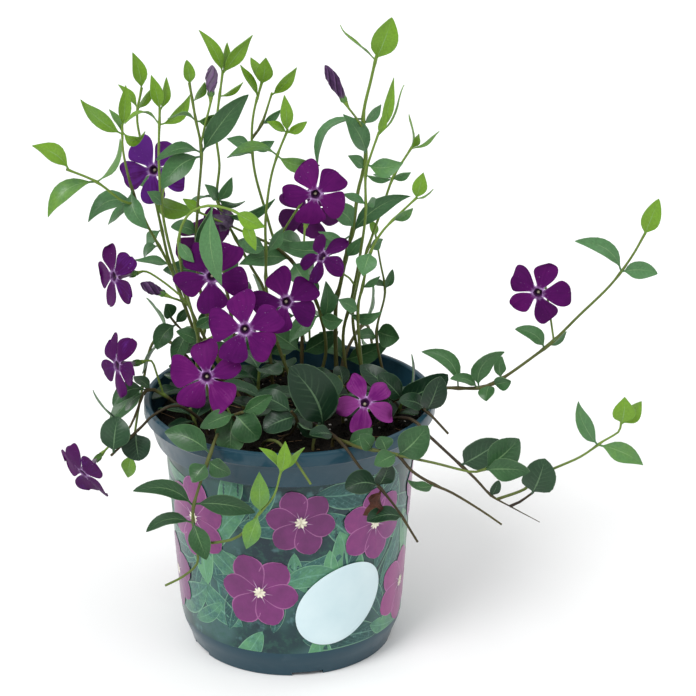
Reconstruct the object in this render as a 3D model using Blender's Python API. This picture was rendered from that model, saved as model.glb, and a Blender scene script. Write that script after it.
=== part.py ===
"""Potted lesser periwinkle with dark purple flowers, in a 12 cm nursery pot.

Run with blender --background --python part.py, or from Blender's text editor.
The axis of the pot is Z, and the pot stands on z = 0. Y points away from the front.

The plant is drawn by hand on a front sheet: an upright plane through the pot's axis, seen
from EYE. A point on it is (across, up) in millimetres, and a third number is its depth,
which slides the point along its line of sight. In this file mm are written out by MM.
"""

import math
import random

import bmesh
import bpy
from mathutils import Matrix, Vector
from mathutils.bvhtree import BVHTree

MM = 0.001
EYE = Vector((24, -926, 505))

# The pot, in millimetres.
POT_HEIGHT = 108.0
LIP_RADIUS = 60.0
LIP_DEPTH = 6.0
COLLAR_TOP_RADIUS = 58.2
COLLAR_FOOT_RADIUS = 55.6
COLLAR_FOOT = 91.5
BODY_TOP_RADIUS = 51.7
BODY_FOOT_RADIUS = 46.5
FOOT_RADIUS = 42.5
WALL = 1.4
FLOOR_UNDER = 2.6
FLOOR_TOP = 4.4
BOSS_RADIUS = 7.0
POT_SIDES = 24
NOTCHES = 5
DRAINS = 6

# The soil, in millimetres.
SOIL_TOP = 98.0
SOIL_BUMP = 1.1
HOLE_DEPTH = 8.0
GAP = 0.3

# The plant, in millimetres.
CANE_SIDES = 4
CANE_STEP = 24.0
LEAF_THICK = 1.0
LEAF_FOLD = 0.22
LEAF_ARCH = 0.10
LEAF_ROOT = 0.1
CANE_END = 0.8
PETAL_THICK = 0.8
# Where a petal's left edge, middle and right edge lie, (out, across), and how high, row by row.
PETAL_ROWS = (
    ((7.3, -3.6), (7.8, 0.1), (7.6, 4.0), 0.7),
    ((13.8, -5.6), (14.8, 0.7), (12.2, 6.8), 0.0),
)
TUBE_LENGTH = 10.0
ROOM = 0.45
WELDS = (0.00004, 0.0000003)

# Stem points are (across, up) or (across, up, depth). A leaf is (foot across, foot up,
# tip across, tip up, how far its tip comes forward, width, turn, bow). Turn is how far the
# blade turns from facing the front, in degrees. Bow is its sideways curve, in leaf lengths.
SHOOTS = {
    "shoot_left_arching": dict(
        root=(-26, 22), colour="young",
        canes=[
            [(-36, 129), (-47, 162), (-56, 181), (-60, 190, 6), (-66, 192), (-76, 200), (-87, 205, -14)],
            [(-60, 190, 6), (-63, 201), (-65, 213), (-65, 223, 10)],
        ],
        leaves=[
            (-87, 205, -101, 215, 3, 9, 25, 0.08), (-76, 200, -66, 218, -4, 6, 60, 0.05),
            (-76, 200, -96, 185, 6, 9, 30, 0.14), (-60, 190, -80, 183, 8, 10, 40, 0.2),
            (-60, 190, -72, 182, -6, 7, 60, 0.0), (-62, 197, -56, 180, 8, 9, 15, 0.1),
            (-65, 220, -81, 234, 3, 8, 20, -0.08), (-65, 221, -56, 221, -4, 6, 45, 0.3),
            (-65, 223, -63, 240, 1, 6, 15, 0.0), (-65, 220, -70, 230, -5, 4, 50, 0.0),
            (-52, 172, -58, 168, -5, 6, 40, 0.1),
        ],
    ),
    "shoot_left_tall": dict(
        root=(-17, 36), colour="young",
        canes=[[(-34, 128), (-42, 146), (-48, 166), (-51, 182), (-55, 204), (-59, 225), (-57, 238, 26)]],
        leaves=[
            (-57, 238, -60, 253, 0, 7, 15, 0.05), (-59, 230, -52, 239, 5, 5, 40, 0.0),
            (-59, 230, -66, 240, -5, 5, 50, 0.0), (-53, 194, -37, 189, 10, 10, 15, 0.12),
            (-53, 194, -64, 202, -6, 7, 40, 0.1), (-48, 165, -62, 167, 6, 7, 50, 0.0),
            (-51, 180, -57, 173, -6, 6, 30, 0.0),
        ],
    ),
    "shoot_left_inner": dict(
        root=(-20, 8), colour="young",
        canes=[
            [(-31, 126), (-40, 146), (-46, 165), (-50, 186), (-51, 208), (-50, 230, -4)],
        ],
        leaves=[
            (-50, 229, -53, 244, 0, 6, 20, 0.0), (-50, 229, -47, 243, -4, 5, 45, 0.0),
            (-50, 224, -64, 224, 5, 6, 45, 0.25), (-50, 224, -38, 236, -5, 6, 35, 0.1),
            (-50, 190, -56, 196, 5, 6, 40, 0.0),
        ],
        blooms=[("bloom_behind", (-50, 190), (-53, 205, 12), (-0.25, -0.9, 0.3), 20, 0.93)],
    ),
    "shoot_centre_left": dict(
        root=(-10, -2), colour="grown",
        canes=[
            [(-26, 118), (-31, 135), (-36, 155), (-37, 172), (-36, 190), (-34, 212), (-36, 226), (-38, 240, -14)],
        ],
        leaves=[
            (-38, 240, -39, 250, 0, 5, 20, 0.0), (-37, 233, -32, 241, 4, 5, 35, 0.0),
            (-36, 225, -47, 226, 4, 6, 50, 0.1), (-36, 225, -25, 227, -4, 6, 35, 0.0),
            (-34, 212, -52, 209, 6, 7, 50, 0.1), (-34, 211, -50, 197, 8, 10, 15, 0.1),
            (-34, 212, -15, 236, 4, 10, 20, -0.06), (-37, 172, -31, 188, 6, 8, 25, 0.0),
            (-37, 178, -47, 181, 5, 7, 30, 0.1),
        ],
        blooms=[("bloom_left_large", (-36, 150), (-31, 160, -26), (-0.05, -1.0, 0.15), 18, 1.0)],
        buds=[("bud_top_left", (-34, 216), (-30, 233), (-29, 248, -16))],
    ),
    "shoot_forked_top": dict(
        root=(-8, 28), colour="young",
        canes=[
            [(-9, 140), (-10, 154), (-15, 164), (-21, 176), (-28, 192), (-27, 207), (-28, 222), (-25, 245, 12)],
        ],
        leaves=[
            (-25, 244, -34, 262, 2, 6, 25, 0.06), (-25, 245, -13, 260, 2, 7, 25, -0.05),
            (-25, 245, -23, 257, -3, 5, 40, 0.0), (-27, 236, -17, 241, 4, 4, 50, 0.0),
            (-28, 193, -40, 191, 4, 7, 60, 0.06), (-28, 193, -17, 192, -4, 7, 60, 0.06),
            (-28, 192, -33, 199, 6, 6, 30, 0.0), (-28, 192, -22, 202, 5, 6, 35, 0.0),
            (-25, 187, -5, 193, 6, 7, 45, 0.1), (-21, 176, -10, 171, 5, 8, 30, 0.0),
        ],
    ),
    "shoot_centre_tall": dict(
        root=(12, 32), colour="young",
        canes=[
            [(15, 128), (13, 143), (8, 156), (1, 167), (-5, 174), (-9, 188), (-13, 204), (-14, 218),
             (-13, 229), (-10, 240, 20)],
            [(-14, 218), (-10, 224), (-6, 236, 12)],
            [(1, 167), (-6, 173), (-20, 180), (-35, 187, 14)],
        ],
        leaves=[
            (-10, 240, -8, 251, 3, 8, 15, 0.0), (-10, 240, -14, 251, -3, 6, 40, 0.0),
            (-12, 235, -18, 248, 3, 5, 45, 0.0), (-14, 214, -24, 218, 4, 6, 35, 0.0),
            (-14, 214, -5, 217, 4, 6, 35, 0.0), (-14, 212, -24, 210, -4, 5, 55, 0.0),
            (-6, 236, 4, 247, 3, 6, 25, 0.0), (-10, 224, -2, 230, 4, 4, 35, 0.0),
            (1, 167, -20, 165, 10, 10, 15, 0.06), (2, 166, 8, 156, 9, 11, 5, 0.0),
            (13, 143, 0, 131, 8, 9, 20, 0.08), (13, 143, 22, 141, 5, 9, 25, 0.1),
            (11, 150, 5, 163, 5, 8, 15, 0.0), (13, 141, 15, 158, 4, 8, 20, 0.05),
            (-35, 187, -42, 193, 3, 5, 35, 0.0),
        ],
        blooms=[("bloom_top", (-5, 174), (11, 195, -6), (0.05, -1.0, 0.1), 40, 0.9)],
    ),
    "shoot_centre": dict(
        root=(2, 16), colour="young",
        canes=[[(-6, 135), (-9, 154), (-9, 170), (-9, 184), (-7, 200), (-4, 211), (0, 221, 2)]],
        leaves=[
            (0, 221, -1, 236, 2, 6, 15, 0.0), (0, 221, 8, 225, 3, 5, 35, 0.0),
            (0, 221, -8, 225, 3, 5, 40, 0.0), (-4, 211, -23, 211, 4, 6, 45, 0.14),
            (-4, 211, 13, 207, 5, 7, 25, 0.08), (-9, 172, -20, 174, 6, 8, 25, 0.0),
            (-9, 170, -2, 181, -6, 7, 35, 0.0), (-8, 150, 2, 143, -8, 8, 30, 0.1),
        ],
        blooms=[("bloom_centre", (-9, 160), (-1, 149, -14), (0.1, -1.0, 0.3), 0, 0.92)],
    ),
    "shoot_front_arch": dict(
        root=(-30, -14), colour="young",
        canes=[
            [(-35, 118), (-38, 138), (-42, 156), (-44, 175), (-40, 186), (-32, 190), (-22, 188), (-16, 184, -34)],
        ],
        leaves=[
            (-21, 188, -9, 181, 5, 8, 20, 0.0), (-17, 185, -13, 171, 3, 6, 30, 0.0),
            (-30, 190, -27, 156, 4, 10, 10, 0.05), (-44, 175, -38, 166, 4, 6, 30, 0.0),
            (-38, 138, -30, 143, 5, 7, 30, 0.0),
        ],
        blooms=[("bloom_middle", (-37, 130), (-18, 137, -38), (0.05, -1.0, 0.25), 12, 1.0)],
    ),
    "shoot_right_tall": dict(
        root=(19, 36), colour="young", thick=1.15,
        canes=[
            [(19, 146), (21, 157), (24, 172), (26, 180), (28, 196), (31, 210), (30, 227), (33, 242), (35, 251, 10)],
        ],
        leaves=[
            (35, 250, 41, 267, 2, 10, 10, 0.0), (35, 250, 21, 264, 2, 6, 35, -0.08),
            (31, 211, 22, 228, 6, 10, 15, 0.05), (30, 224, 37, 232, -4, 6, 35, 0.0),
            (30, 226, 12, 207, 4, 8, 35, 0.22), (30, 206, 24, 211, 5, 6, 35, 0.0),
            (26, 178, 49, 194, 5, 9, 15, -0.12), (25, 178, -8, 176, 6, 9, 25, -0.2),
            (26, 180, 15, 190, 7, 10, 20, 0.1), (25, 172, 12, 179, -3, 5, 40, 0.0),
            (24, 168, 30, 177, 4, 6, 20, 0.0), (20, 152, 15, 146, 5, 7, 25, 0.0),
        ],
        buds=[("bud_top_right", (30, 222), (24, 231), (15, 248, 2))],
    ),
    "shoot_right_second": dict(
        root=(24, 22), colour="young",
        canes=[
            [(22, 134), (25, 148), (27, 158), (29, 170), (31, 186), (31, 203), (33, 211), (36, 220, -2)],
        ],
        leaves=[
            (36, 220, 42, 243, 2, 5, 30, 0.0), (36, 220, 46, 240, -3, 5, 40, 0.0),
            (36, 220, 39, 230, 3, 4, 30, 0.0), (32, 207, 46, 208, 5, 9, 20, 0.08),
            (32, 203, 41, 201, 4, 5, 60, 0.0), (31, 190, 22, 195, 4, 5, 45, 0.0),
            (31, 190, 35, 193, -5, 5, 40, 0.0), (24, 145, 38, 145, 4, 6, 35, 0.15),
        ],
        blooms=[("bloom_side", (27, 156), (14, 168, -2), (-0.6, -0.5, 0.7), 30, 0.86)],
    ),
    "shoot_right_outer": dict(
        root=(31, 28), colour="young",
        canes=[[(26, 140), (28, 158), (32, 172), (38, 190), (42, 202), (49, 214, 30)]],
        leaves=[
            (49, 214, 48, 228, 2, 5, 25, 0.0), (49, 214, 60, 221, 2, 5, 35, 0.0),
            (49, 214, 52, 220, -3, 4, 30, 0.0), (42, 201, 49, 204, 3, 5, 35, 0.0),
            (42, 201, 34, 203, -4, 5, 45, 0.0), (32, 172, 38, 176, -4, 6, 35, 0.0),
        ],
    ),
    "shoot_right_low": dict(
        root=(31, 8), colour="young",
        canes=[[(28, 142), (30, 156), (33, 170), (37, 178), (42, 184), (51, 193, 2)]],
        leaves=[
            (51, 193, 54, 204, 2, 7, 15, 0.0), (51, 193, 58, 197, -2, 4, 45, 0.0),
            (42, 184, 50, 189, 4, 6, 40, 0.0), (33, 170, 30, 160, 9, 10, 5, 0.0),
            (29, 155, 37, 160, 3, 4, 40, 0.0), (28, 145, 20, 150, 4, 7, 30, 0.0),
        ],
    ),
    "shoot_right_thin": dict(
        root=(40, 24), colour="grown", thick=0.75,
        canes=[[(36, 130), (36, 139), (39, 153), (37, 166), (35, 178, 40)]],
        leaves=[
            (39, 155, 42, 163, 2, 4, 30, 0.0), (38, 155, 34, 158, -3, 4, 40, 0.0),
            (36, 136, 45, 133, 5, 11, 15, 0.0), (36, 133, 28, 133, 4, 8, 45, 0.1),
            (35, 178, 33, 184, 2, 4, 30, 0.0),
        ],
    ),
    "shoot_left_small": dict(
        root=(-34, 24), colour="grown", thick=0.75,
        canes=[[(-34, 128), (-38, 135), (-44, 137), (-48, 142, 26)]],
        leaves=[
            (-48, 142, -50, 148, 3, 7, 20, 0.0), (-46, 140, -42, 146, -3, 5, 35, 0.0),
            (-46, 139, -54, 128, 6, 9, 15, 0.12), (-41, 136, -48, 122, 5, 8, 20, 0.0),
            (-36, 131, -44, 127, -5, 7, 30, 0.0),
        ],
    ),
    "shoot_left_flowering": dict(
        root=(-36, 2), colour="grown",
        canes=[[(-38, 122), (-37, 136), (-40, 146), (-44, 152, 0)]],
        leaves=[(-37, 132, -46, 136, 4, 7, 30, 0.0), (-38, 138, -33, 146, -5, 7, 35, 0.0)],
        blooms=[("bloom_far_left", (-43, 151), (-70, 160, -6), (-0.75, -0.6, 0.1), 10, 0.92)],
        buds=[("bud_left", (-41, 147), (-48, 151), (-60, 157, -8))],
    ),
    "runner_left": dict(
        root=(-34, -16), colour="dark", thick=0.9,
        canes=[[(-46, 103, -18), (-56, 99, -21), (-61, 94), (-67, 88), (-74, 81, -44)]],
        leaves=[
            (-64, 91, -63, 78, 6, 12, 10, 0.0), (-74, 81, -71, 98, -6, 12, 15, -0.05),
            (-66, 89, -81, 110, -8, 4, 40, -0.12),
        ],
    ),
    "shoot_left_green": dict(
        root=(-42, -6), colour="grown",
        canes=[[(-52, 108), (-59, 110), (-63, 101), (-66, 94), (-71, 87, -10)]],
        leaves=[
            (-59, 110, -73, 103, 4, 8, 25, 0.16), (-60, 109, -68, 101, -5, 6, 35, 0.0),
            (-57, 110, -64, 116, -6, 6, 35, 0.0),
        ],
        blooms=[
            ("bloom_left_low", (-52, 108), (-70, 121, -14), (-0.8, -0.55, 0.1), 30, 0.9),
            ("bloom_lowest", (-69, 90), (-86, 73, -16), (-0.6, -0.6, -0.45), 0, 0.92),
        ],
    ),
    "shoot_rim_left": dict(
        root=(-28, -24), colour="grown",
        canes=[
            [(-31, 88, -53), (-34, 79, -61), (-38, 67), (-41, 56), (-41, 48), (-40, 38), (-40, 30), (-46, 24),
             (-53, 20, -58)],
            [(-40, 40), (-32, 40), (-22, 43), (-13, 54), (-7, 62), (-4, 73, -70)],
        ],
        leaves=[
            (-33, 81, -52, 91, -4, 11, 10, 0.08), (-35, 77, -41, 68, 5, 9, 20, 0.0),
            (-34, 78, -25, 72, 4, 9, 25, 0.0), (-41, 57, -66, 64, 4, 8, 20, 0.12),
            (-40, 58, -15, 54, 4, 9, 25, -0.1), (-41, 49, -61, 45, -3, 7, 45, 0.1),
            (-41, 50, -36, 32, 6, 9, 15, 0.0), (-13, 54, -13, 73, 2, 8, 10, 0.0),
            (-13, 53, -19, 37, 3, 8, 10, 0.0), (-4, 73, -2, 87, 2, 6, 15, 0.0),
            (-4, 73, -13, 84, -2, 4, 45, 0.1), (-4, 73, 6, 84, -2, 4, 45, -0.1),
        ],
    ),
    "stub_front": dict(
        root=(-10, -34), colour="dark", thick=0.95,
        canes=[[(-6, 87, -52), (-2, 83, -61), (2, 78), (8, 68, -72)]],
        leaves=[],
    ),
    "shoot_rim_right": dict(
        root=(8, -14), colour="dark",
        canes=[
            [(16, 91, -40), (23, 84, -57), (29, 75), (37, 66), (45, 55), (53, 41, -74)],
        ],
        leaves=[
            (14, 93, -9, 118, 12, 15, 10, 0.10), (37, 66, 23, 65, 3, 10, 30, 0.1),
            (38, 65, 45, 54, 4, 8, 30, 0.1), (37, 67, 41, 77, 3, 8, 35, 0.0),
            (47, 51, 32, 50, 5, 9, 40, 0.06), (18, 89, 8, 90, 5, 7, 40, 0.0),
        ],
    ),
    "runner_right_forked": dict(
        root=(40, -12), colour="dark",
        canes=[
            [(50, 97, -32), (57, 90, -37), (63, 84), (69, 78), (77, 70), (84, 62), (92, 57), (104, 50, -70)],
            [(87, 61), (98, 65), (103, 71), (111, 75), (121, 80), (130, 87), (136, 91), (137, 95, -74)],
            [(92, 57), (96, 59), (101, 63, -66)],
        ],
        leaves=[
            (137, 95, 138, 107, 2, 9, 15, 0.0), (137, 95, 145, 105, -2, 8, 30, 0.0),
            (127, 86, 119, 105, 3, 7, 30, -0.1), (128, 85, 147, 76, 3, 8, 20, -0.1),
            (101, 63, 109, 79, 3, 12, 10, 0.0), (71, 76, 81, 89, 4, 12, 15, 0.0),
            (84, 62, 87, 69, 2, 4, 30, 0.0),
        ],
    ),
    "runner_right_front": dict(
        root=(18, -30), colour="grown",
        canes=[
            [(22, 87, -46), (29, 84, -59), (40, 82), (47, 80), (60, 77), (75, 73), (81, 74, -86)],
            [(45, 80), (51, 73), (60, 67), (68, 63), (80, 55), (88, 49, -84)],
        ],
        leaves=[
            (45, 81, 57, 94, 4, 13, 10, 0.05), (44, 80, 35, 76, 5, 8, 30, 0.0),
            (24, 86, 34, 93, 3, 7, 25, 0.1), (34, 83, 29, 90, 4, 7, 25, 0.0),
            (81, 74, 95, 88, -5, 13, 15, 0.0), (81, 74, 100, 73, 5, 10, 20, -0.08),
            (60, 67, 49, 69, 4, 6, 45, -0.2), (40, 82, 37, 89, -4, 8, 25, 0.0),
        ],
    ),
    "runner_right_high": dict(
        root=(42, 8), colour="grown",
        canes=[
            [(56, 110, 5), (64, 111), (78, 111), (87, 115), (100, 125), (108, 132), (118, 143), (130, 156),
             (138, 168), (143, 178, -4)],
        ],
        leaves=[
            (143, 178, 148, 193, 2, 8, 10, 0.0), (134, 162, 115, 175, 4, 7, 25, 0.14),
            (134, 162, 149, 161, 4, 8, 20, -0.1), (104, 129, 92, 137, 4, 7, 20, 0.12),
            (105, 130, 113, 136, -3, 5, 50, 0.0), (78, 111, 88, 127, 5, 9, 25, -0.25),
            (77, 111, 66, 115, 3, 6, 35, 0.1), (69, 111, 54, 127, -6, 7, 25, 0.2),
            (82, 112, 81, 105, 6, 8, 25, 0.0), (84, 113, 91, 114, 5, 7, 30, 0.0),
            (87, 115, 87, 125, -5, 6, 35, -0.15),
        ],
        blooms=[("bloom_right", (108, 132), (101, 153, -4), (-0.25, -0.95, 0.1), 50, 0.9)],
    ),
    "stub_right": dict(
        root=(30, -2), colour="dark", thick=0.95,
        canes=[[(43, 106, -6), (51, 104, -14), (57, 100, -18), (65, 91, -26)]],
        leaves=[
            (43, 106, 65, 117, 8, 11, 10, 0.08), (56, 100, 62, 116, 6, 10, 20, 0.0),
            (55, 101, 45, 105, 6, 7, 25, 0.1), (44, 106, 29, 121, -6, 9, 20, 0.0),
            (48, 105, 50, 126, -8, 5, 30, 0.0), (42, 106, 37, 96, 8, 10, 20, 0.0),
            (46, 105, 36, 117, 4, 9, 20, 0.0),
        ],
        blooms=[("bloom_on_soil", (41, 107), (31, 104, -28), (0.05, -0.75, 0.65), 5, 0.9)],
    ),
    "shoot_on_soil": dict(
        root=(-18, -22), colour="grown",
        canes=[[(-22, 94, -30), (-24, 98, -38), (-20, 100, -44)]],
        leaves=[
            (-24, 98, -25, 82, 8, 12, 5, 0.0), (-20, 100, -5, 109, -6, 9, 30, 0.0),
            (-22, 99, -13, 90, 6, 12, 10, 0.0), (-22, 98, -40, 92, 6, 9, 25, 0.0),
        ],
        blooms=[("bloom_front_left", (-22, 97), (-34, 116, -36), (0.0, -1.0, 0.3), 8, 1.0)],
    ),
    "shoot_soil_dark": dict(
        root=(-2, -28), colour="dark",
        canes=[[(0, 90, -32), (3, 96, -36), (1, 100, -38)]],
        leaves=[
            (2, 98, -11, 92, 5, 11, 20, 0.0), (2, 96, 12, 90, 6, 10, 20, 0.0),
            (1, 100, -14, 108, -6, 9, 30, 0.0), (1, 100, 10, 106, -12, 10, 25, 0.0),
        ],
    ),
}

# Shoots behind, out of the front view: (root azimuth, root radius, reach, rise, fall, bloom).
BACK_SHOOTS = [
    ("shoot_back_1", 62, 44, 34, 16, -46, False),
    ("shoot_back_2", 84, 40, 26, 52, -8, True),
    ("shoot_back_3", 103, 45, 38, 14, -66, False),
    ("shoot_back_4", 124, 40, 28, 44, -12, True),
    ("shoot_back_5", 146, 45, 34, 18, -38, False),
]
BACK_LEAF = 21.0
BACK_BLOOM = 0.95

# Young shoots that have just come up through the soil, to cover it: (x, y, height of their tips).
LOW_SHOOTS = [
    ("shoot_low_1", -38, -14, 9), ("shoot_low_2", -8, -12, 12), ("shoot_low_3", 10, -32, 8),
    ("shoot_low_4", 22, -8, 12), ("shoot_low_5", 44, -6, 9), ("shoot_low_6", 24, 10, 13),
    ("shoot_low_7", -4, 42, 11), ("shoot_low_8", -44, 12, 10), ("shoot_low_9", -14, 16, 14),
]
LOW_LEAF = 17.0

COLOURS = {
    "pot": (0.030, 0.072, 0.098), "soil": (0.022, 0.014, 0.009),
    "young": (0.095, 0.205, 0.045), "grown": (0.035, 0.110, 0.032), "dark": (0.020, 0.062, 0.024),
    "petal": (0.115, 0.010, 0.140), "bud": (0.100, 0.040, 0.130),
}


def clear_scene():
    for thing in list(bpy.data.objects):
        bpy.data.objects.remove(thing, do_unlink=True)


def material(name):
    made = bpy.data.materials.get(name)
    if made:
        return made
    made = bpy.data.materials.new(name)
    made.use_nodes = True
    shader = made.node_tree.nodes["Principled BSDF"]
    shader.inputs["Base Color"].default_value = (*COLOURS[name], 1)
    shader.inputs["Roughness"].default_value = {"pot": 0.35, "soil": 0.95, "petal": 0.7}.get(name, 0.5)
    return made


def on_sheet(across, up, depth):
    """The point at this depth that is seen, from EYE, at (across, up) on the front sheet."""
    flat = Vector((across, 0, up))
    return EYE + (flat - EYE) * ((depth - EYE.y) / -EYE.y)


def filled_depths(points):
    """Depths of a cane's points: those not given lie evenly between those that are."""
    given = [(i, p[2]) for i, p in enumerate(points) if len(p) == 3]
    depths = []
    for i in range(len(points)):
        before = max((g for g in given if g[0] <= i), default=given[0])
        after = min((g for g in given if g[0] >= i), default=given[-1])
        span = after[0] - before[0]
        share = (i - before[0]) / span if span else 0
        depths.append(before[1] + (after[1] - before[1]) * share)
    return depths


def smooth_path(points, step):
    """A smooth curve through the points, with a new point about every step."""
    path = []
    for i in range(len(points) - 1):
        a, b = points[i], points[i + 1]
        before = points[i - 1] if i else a * 2 - b
        after = points[i + 2] if i + 2 < len(points) else b * 2 - a
        count = max(1, round((b - a).length / step))
        for k in range(count):
            t = k / count
            path.append(0.5 * (
                2 * a + (b - before) * t + (2 * before - 5 * a + 4 * b - after) * t * t
                + (3 * a - before - 3 * b + after) * t ** 3
            ))
    return path + [points[-1]]


def ring_frames(path):
    """A direction and two cross directions at each point, turned as little as possible."""
    frames = []
    side = None
    for i, point in enumerate(path):
        ahead = (path[min(i + 1, len(path) - 1)] - path[max(i - 1, 0)]).normalized()
        if side is None:
            side = ahead.orthogonal().normalized()
        side = (side - ahead * side.dot(ahead)).normalized()
        frames.append((ahead, side, ahead.cross(side)))
    return frames


def tube(path, radii, sides=CANE_SIDES):
    """A closed round bar along the path: (points, faces)."""
    points, faces = [], []
    for centre, radius, (_, side, up) in zip(path, radii, ring_frames(path)):
        for k in range(sides):
            angle = 2 * math.pi * k / sides
            points.append(centre + (side * math.cos(angle) + up * math.sin(angle)) * radius)
    for i in range(len(path) - 1):
        for k in range(sides):
            a = i * sides + k
            b = i * sides + (k + 1) % sides
            faces += [(a, b, b + sides), (a, b + sides, a + sides)]
    last = (len(path) - 1) * sides
    for k in range(1, sides - 1):
        faces.append((0, k + 1, k))
        faces.append((last, last + k, last + k + 1))
    return points, faces


def blade(stations, thick):
    """A closed thin blade. Each station is (left edge, middle, right edge, normal, thickness share).
    The first and the last are one point, given as a Vector."""
    points, rows, faces = [], [], []
    for station in stations:
        if isinstance(station, Vector):
            rows.append([len(points)] * 4)
            points.append(station)
            continue
        left, middle, right, normal, share = station
        start = len(points)
        half = normal * (thick * share / 2)
        points += [left, middle + half, right, middle - half]
        rows.append([start, start + 1, start + 2, start + 3])
    for near, far in zip(rows, rows[1:]):
        for a, b, flip in ((0, 1, 0), (1, 2, 1), (2, 3, 0), (3, 0, 1)):
            quad = [near[a], near[b], far[b], far[a]]
            first = (quad[0], quad[1], quad[2]) if flip else (quad[0], quad[1], quad[3])
            second = (quad[0], quad[2], quad[3]) if flip else (quad[1], quad[2], quad[3])
            faces += [f for f in (first, second) if len(set(f)) == 3]
    return points, [face[::-1] for face in faces]


def leaf(foot, tip, width, turn, bow, grow=0.0):
    """A periwinkle leaf that faces the front, turned about its length."""
    along = (tip - foot).normalized()
    across = along.cross((EYE - foot).normalized()).normalized()
    normal = Matrix.Rotation(math.radians(turn), 3, along) @ across.cross(along)
    return bent_blade(foot, tip, width, normal, across, bow, grow)


def level_leaf(foot, tip, width, grow=0.0):
    """A periwinkle leaf whose face looks up."""
    along = (tip - foot).normalized()
    across = Vector((0, 0, 1)).cross(along).normalized()
    return bent_blade(foot, tip, width, along.cross(across), across, 0.0, grow)


def bent_blade(foot, tip, width, normal, across, bow, grow):
    """A leaf's short stalk, broad folded blade and pointed tip, arched and bent like a bow."""
    along = tip - foot
    length = along.length
    along.normalize()
    side = normal.cross(along)
    stations = [foot + along * LEAF_ROOT]
    for t, share, thickness in ((0.34, 0.96, 1.0), (0.72, 0.76, 0.9)):
        hump = 4 * t * (1 - t)
        middle = foot + along * (length * t) + across * (bow * length * hump)
        middle += normal * (LEAF_ARCH * length * hump)
        half = width / 2 * share + grow
        lift = normal * (LEAF_FOLD * half)
        stations.append((middle - side * half + lift, middle, middle + side * half + lift, normal, thickness))
    stations.append(tip + along * grow)
    return blade(stations, LEAF_THICK + 2 * grow)


def frame_from(facing, spin):
    """Three directions: across and up on a flower's face, and the way it faces."""
    facing = facing.normalized()
    across = Vector((0, 0, 1)).cross(facing)
    across = across.normalized() if across.length > 0.01 else Vector((1, 0, 0))
    across = Matrix.Rotation(math.radians(spin), 3, facing) @ across
    return across, facing.cross(across), facing


def bloom_solid(centre, facing, spin, size, grow=0.0):
    """A flower in one piece: a tube with a five-sided pit in its mouth, and from each side of
    the mouth a petal like a skewed wedge, narrow at the throat, broad and cut on the slant."""
    across, up, facing = frame_from(Vector(facing), spin)
    points, faces = [], []

    def place(angle, out, round_, height):
        spread = across * math.cos(angle) + up * math.sin(angle)
        points.append(centre + spread * out + facing.cross(spread) * round_ + facing * height)
        return len(points) - 1

    def ring(radius, height):
        return [place(2 * math.pi * k / 5, radius, 0, height) for k in range(5)]

    def wall(upper, lower):
        for k in range(5):
            a, b, c, d = upper[k], upper[(k + 1) % 5], lower[k], lower[(k + 1) % 5]
            faces.extend([(a, c, d), (a, d, b)])

    pit, mouth, rim = ring(0.7, -1.8), ring(1.7, 0.4), ring(2.6 + grow, 0.7 + grow)
    brim, waist, foot = ring(2.6 + grow, -0.5 - grow), ring(1.4 + grow, -6.0), ring(0.8 + grow, -TUBE_LENGTH)
    wall(pit, mouth)
    wall(mouth, rim)
    wall(brim, waist)
    wall(waist, foot)
    faces.extend([(pit[0], pit[k], pit[k + 1]) for k in (1, 2, 3)])
    faces.extend([(foot[0], foot[k + 1], foot[k]) for k in (1, 2, 3)])
    half = PETAL_THICK / 2 + grow
    for k in range(5):
        angle = 2 * math.pi * (k + 0.5) / 5
        near = [rim[k], rim[(k + 1) % 5], brim[(k + 1) % 5], brim[k]]
        for (left_out, left), (middle_out, middle), (right_out, right), lift in PETAL_ROWS:
            far = [
                place(angle, left_out * size + grow, left * size - grow, lift - 0.4),
                place(angle, middle_out * size + grow, middle * size, lift + half),
                place(angle, right_out * size + grow, right * size + grow, lift + 0.2),
                place(angle, middle_out * size + grow, middle * size, lift - half),
            ]
            for a, b in ((0, 1), (1, 2), (2, 3), (3, 0)):
                if a in (0, 3):
                    faces.extend([(near[a], far[a], far[b]), (near[a], far[b], near[b])])
                else:
                    faces.extend([(near[a], far[a], near[b]), (far[a], far[b], near[b])])
            near = far
        faces.extend([(near[0], near[2], near[1]), (near[0], near[3], near[2])])
    return points, faces


def bud_solid(foot, tip, grow=0.0):
    """A furled bud: a spindle whose five edges wind round it."""
    along = tip - foot
    length = along.length
    frame = frame_from(along, 0)
    points, faces = [], []
    rows = ((0.8, 0.0, 0), (1.7, 0.3, 20), (2.5, 0.62, 50), (1.9, 0.82, 75), (0.25, 1.0, 95))
    for radius, share, wind in rows:
        for k in range(5):
            angle = math.radians(72 * k + wind)
            spread = frame[0] * math.cos(angle) + frame[1] * math.sin(angle)
            points.append(foot + frame[2] * (length * share) + spread * (radius + grow))
    for i in range(len(rows) - 1):
        for k in range(5):
            a = i * 5 + k
            b = i * 5 + (k + 1) % 5
            faces += [(a, b, b + 5), (a, b + 5, a + 5)]
    last = (len(rows) - 1) * 5
    for k in range(1, 4):
        faces.append((0, k + 1, k))
        faces.append((last, last + k, last + k + 1))
    return points, faces


def stalk(start, end, facing, reach):
    """A flower's stalk: leaves the stem at start and comes to end along facing."""
    before = end - facing.normalized() * reach
    path = smooth_path([start, (start + before) / 2 + Vector((0, 0, reach * 0.15)), before, end], 9)
    radii = [0.55] * len(path)
    radii[-1] = 1.25
    return tube(path, radii)


def apart(one, other):
    return not BVHTree.FromPolygons(*one).overlap(BVHTree.FromPolygons(*other))


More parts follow.
